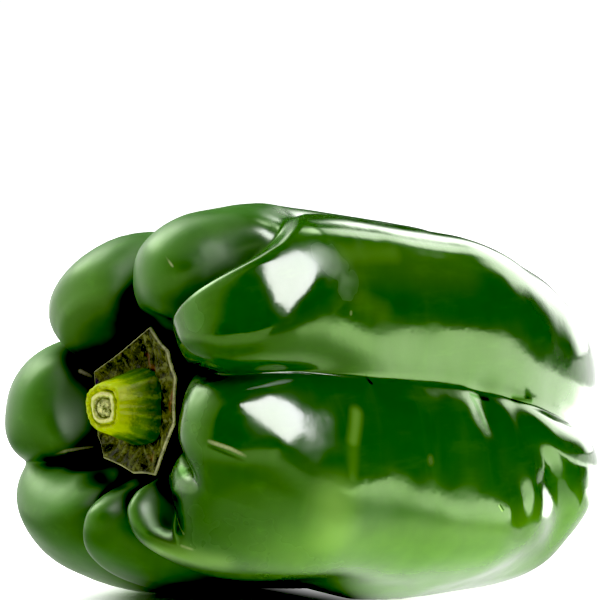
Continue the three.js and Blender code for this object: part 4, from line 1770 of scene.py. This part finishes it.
@dataclass(frozen=True)
class Floor:
    """A level square of white paper, brighter or darker in patches where it is mirrored or lights the pepper.

    Places are in metres from the origin, along X and Y. The oval is an ellipse under the pepper: a place is
    at 0 in its middle and at 1 on its edge. Ramps are as in SkinFinish.

    Attributes:
        size: Side of the floor, in metres.
        white: Reflectance of the paper.
        rough: Roughness of the paper.
        specular: How strongly it mirrors.
        oval: Half its length and half its width.
        wider: How much further out a place counts towards the blossom end, by X.
        shade: Places on that scale between which the pepper's shade ends.
        clear: Places on the oval from which on the paper looks white.
        clear_side: Places along X from which on it looks white under the pepper too.
        mirrored: Brightness of the paper as the pepper mirrors it.
        front: Places along Y between which the mirrored paper ends in front.
        right: Places along X between which it is brighter towards the blossom end.
        right_front: Places along Y between which that comes in in front of the pepper.
        right_side: Places along X between which it comes in beside it.
        right_gain: How many times brighter it is there.
        left: Places along X between which the stem end's brightness takes over.
        left_light: That brightness, by the distance from the origin.
        near_light: How far the mirrored brightness comes in, by the place on the oval.
        far_light: How much of it is left, by the place on the oval.
        corner_side: Places along X between which a darker corner comes in.
        corner_front: How dark it is, by Y.
        strip_start: Places along X between which a darker strip comes in.
        strip_end: Places along X between which it ends.
        strip_front: How dark it is, by Y.
        bounce: Brightness of the paper close round the pepper, as it lights the underside.
        bounce_reach: Places on the oval between which that ends.
        bounce_left: How much of it is left towards the stem end, by X.
    """

    size: float = 6.0
    white: float = 0.92
    rough: float = 0.9
    specular: float = 0.1
    oval: Pair = (0.060, 0.042)
    wider: Ramp = (-0.03, 0.0, 0.0, 0.37)
    shade: Span = (0.65, 0.95)
    clear: Span = (0.7, 1.0)
    clear_side: Span = (-0.012, 0.008)
    mirrored: float = 2.7
    front: Span = (-0.26, -0.28)
    right: Span = (0.01, 0.12)
    right_front: Span = (-0.06, -0.09)
    right_side: Span = (0.085, 0.12)
    right_gain: float = 4.9
    left: Span = (-0.030, -0.080)
    left_light: Ramp = (0.08, 0.25, 0.55, 4.4)
    near_light: Ramp = (0.8, 1.5, 0.5, 1.0)
    far_light: Ramp = (2.4, 1.6, 0.5, 1.0)
    corner_side: Span = (0.27, 0.33)
    corner_front: Ramp = (-0.10, -0.14, 0.72, 1.0)
    strip_start: Span = (0.03, 0.05)
    strip_end: Span = (0.10, 0.085)
    strip_front: Ramp = (-0.075, -0.055, 0.0, 0.45)
    bounce: float = 2.3
    bounce_reach: Span = (2.4, 1.6)
    bounce_left: Ramp = (-0.055, -0.015, 0.3, 1.0)

    def build(self) -> bpy.types.Object:
        """Makes the floor.

        Returns:
            The floor, level at height 0 and centred on the origin.
        """
        half = self.size / 2.0
        mesh = bpy.data.meshes.new("floor")
        corners = [(x * half, y * half, 0.0) for x, y in ((-1, -1), (1, -1), (1, 1), (-1, 1))]
        mesh.from_pydata(corners, [], [(0, 1, 2, 3)])
        mesh.materials.append(self.material())
        floor = new_object("floor", mesh)
        return floor

    def material(self) -> bpy.types.Material:
        """Builds the paper.

        Returns:
            A Principled material that looks white to the camera, and gives off light of its own where it is
            mirrored and where it lights the pepper's underside.
        """
        material, nodes, shader, place = new_material("paper")
        path = nodes.add("ShaderNodeLightPath").outputs
        x, y, _ = nodes.add("ShaderNodeSeparateXYZ", {"Vector": place}).outputs
        flattened = nodes.stretched(place, (1.0 / self.oval[0], 1.0 / self.oval[1], 0.0))
        oval = nodes.vector("LENGTH", flattened).outputs["Value"]
        open_paper = nodes.spread(nodes.plus(oval, nodes.spread(x, *self.wider)), *self.shade)
        clear = nodes.most(nodes.spread(oval, *self.clear), nodes.spread(x, *self.clear_side))
        near = nodes.times(open_paper, nodes.spread(oval, *self.bounce_reach))
        bounce = nodes.times(near, nodes.spread(x, *self.bounce_left), self.bounce)
        glow = nodes.plus(
            nodes.times(path["Is Camera Ray"], clear),
            nodes.times(path["Is Glossy Ray"], self.mirrored_light(nodes, place, oval, open_paper)),
            nodes.times(path["Is Diffuse Ray"], bounce),
        )
        nodes.feed(shader, {
            "Base Color": nodes.spread(path["Is Glossy Ray"], 0.0, 1.0, self.white, 0.0),
            "Roughness": self.rough,
            "Specular IOR Level": self.specular,
            "Emission Color": opaque(WHITE),
            "Emission Strength": glow,
        })
        return material

    def mirrored_light(self, nodes: Nodes, place: Socket, oval: Socket, open_paper: Socket) -> Socket:
        """How bright the paper is as the pepper mirrors it.

        Args:
            nodes: The material's nodes.
            place: The Object coordinates.
            oval: The place on the oval.
            open_paper: 0 in the pepper's shade, 1 out of it.

        Returns:
            The paper's brightness, more towards the blossom end, another one towards the stem end, and less
            close to the pepper, far from it, in the corner and in the strip.
        """
        x, y, _ = nodes.add("ShaderNodeSeparateXYZ", {"Vector": place}).outputs
        distance = nodes.vector("LENGTH", place).outputs["Value"]
        paper = nodes.times(nodes.rest(nodes.spread(y, *self.front)), self.mirrored)
        beside = nodes.most(nodes.spread(y, *self.right_front), nodes.spread(x, *self.right_side))
        right = nodes.times(nodes.spread(x, *self.right), beside)
        paper = nodes.times(paper, nodes.spread(right, 0.0, 1.0, 1.0, self.right_gain))
        left_light = nodes.spread(distance, *self.left_light)
        paper = nodes.between(nodes.spread(x, *self.left), paper, left_light)
        corner = nodes.times(nodes.spread(x, *self.corner_side), nodes.spread(y, *self.corner_front))
        strip = nodes.times(nodes.spread(x, *self.strip_start), nodes.spread(x, *self.strip_end))
        strip = nodes.times(strip, nodes.spread(y, *self.strip_front))
        near, far = nodes.spread(oval, *self.near_light), nodes.spread(oval, *self.far_light)
        return nodes.times(paper, open_paper, near, far, nodes.rest(corner), nodes.rest(strip))


@dataclass(frozen=True)
class Room:
    """The room: white behind the pepper, dim where it lights surfaces or is mirrored.

    Attributes:
        seen: Its brightness to the camera.
        ambient: Its brightness for surfaces.
        mirrored: Its brightness as the pepper mirrors it.
    """

    seen: float = 1.05
    ambient: float = 0.09
    mirrored: float = 0.02

    def build(self) -> None:
        """Makes the world."""
        world = bpy.data.worlds.new("room")
        world.use_nodes = True
        world.node_tree.nodes.clear()
        nodes = Nodes(world.node_tree)
        path = nodes.add("ShaderNodeLightPath").outputs
        level = nodes.plus(
            nodes.times(path["Is Glossy Ray"], self.mirrored - self.ambient),
            self.ambient,
            nodes.times(path["Is Camera Ray"], self.seen - self.ambient),
        )
        light = nodes.add("ShaderNodeBackground", {"Color": opaque(WHITE), "Strength": level})
        nodes.add("ShaderNodeOutputWorld", {"Surface": light.outputs[0]})
        bpy.context.scene.world = world


@dataclass(frozen=True)
class Camera:
    """A camera with a long lens.

    Attributes:
        aim: What it stands round, in mm.
        azimuth: How far round it stands, in degrees from -Y.
        elevation: How high, in degrees above level.
        distance: How far off, in metres.
        raised: How far above the aim it looks, in metres.
        lens: Focal length, in mm.
        sensor: Width of the sensor, in mm.
        clip: Nearest and farthest distance that shows, in metres.
    """

    aim: Spot = (-6.885, 0.795, 39.6)
    azimuth: float = -40.0
    elevation: float = 6.0
    distance: float = 0.828
    raised: float = 0.01926
    lens: float = 247.7
    sensor: float = 36.0
    clip: Span = (0.05, 50.0)

    def build(self) -> bpy.types.Object:
        """Makes the camera.

        Returns:
            The camera, as the scene's own.
        """
        aim = Vector(self.aim) * MM
        back = towards(self.azimuth, self.elevation)
        right = Vector((0.0, 0.0, 1.0)).cross(back).normalized()
        look = aim + back.cross(right) * self.raised
        data = bpy.data.cameras.new("camera")
        data.sensor_width = self.sensor
        data.lens = self.lens
        data.clip_start, data.clip_end = self.clip
        camera = new_object("camera", data)
        camera.location = aim + back * self.distance
        camera.rotation_euler = (look - camera.location).to_track_quat("-Z", "Y").to_euler()
        bpy.context.scene.camera = camera
        return camera


@dataclass(frozen=True)
class Studio:
    """A plain pale floor and room, soft lamps, cards and the camera.

    Attributes:
        target: What the lamps are turned to, in metres.
        lamps: The lamps.
        cards: The cards: the window, and a black card low beside the blossom end.
        surround: The paper dome.
        floor: The floor.
        room: The room.
        camera: The camera.
        black: Brightness below which the picture is black.
    """

    target: Spot = (0.0, 0.0, 0.04)
    lamps: tuple[Lamp, ...] = (
        Lamp("top_lamp", 0.0, 88.0, 0.9, (0.8, 0.8), 11.0),
        Lamp("key_lamp", 5.0, 40.0, 0.8, (0.35, 0.35), 0.6),
        Lamp("back_lamp", 130.0, 35.0, 0.9, (0.7, 0.4), 4.0),
    )
    cards: tuple[Card, ...] = (
        Card(
            "window",
            (
                (-37, 60, 2.5), (-12, 60, 2.5), (5, 62, 2.5), (17, 53, 2.5), (26, 43, 2.5),
                (28, 30, 2.5), (20, 15, 2.5), (8, 6, 2.5), (-13, 25, 2.5), (-28, 44, 2.5),
            ),
            24.0,
            (1.25, 0.77, 2.4),
        ),
        Card(
            "low_flag",
            ((49.4, -23.45, 0.1005), (66.1, -27.58, 0.0864), (66.1, -13.94, 0.0789), (49.4, -11.64, 0.0941)),
            0.0,
        ),
    )
    surround: Surround = Surround()
    floor: Floor = Floor()
    room: Room = Room()
    camera: Camera = Camera()
    black: float = 0.02

    def build(self) -> None:
        """Makes the floor, the room, the lamps, the cards, the dome and the camera, and sets the picture."""
        target = Vector(self.target)
        self.floor.build()
        self.room.build()
        for item in (*self.lamps, *self.cards, self.surround):
            item.build(target)
        self.camera.build()
        view = bpy.context.scene.view_settings
        view.view_transform = "Standard"
        view.use_curve_mapping = True
        view.curve_mapping.black_level = (self.black,) * 3


def main() -> None:
    """Builds the pepper's three pieces and the studio, and reports each piece."""
    logging.basicConfig(level=logging.INFO, format="%(message)s")
    shared = SharedGroups(scratch_group(), mottle_group())
    parts = (
        (Fruit(), "fruit", "skin", SkinFinish()),
        (Calyx(), "calyx", "calyx", CalyxFinish()),
        (Stem(), "stem", "stem", StemFinish()),
    )
    for shape, node, slot, finish in parts:
        piece = shape.build()
        piece.data.materials.append(finish.material(shared))
        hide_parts(node)
        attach(piece, BODY)
        LOG.info("%s: %d triangles, stands for %s", piece.name, triangles(piece), node)
    Studio().build()


if __name__ == "__main__":
    main()
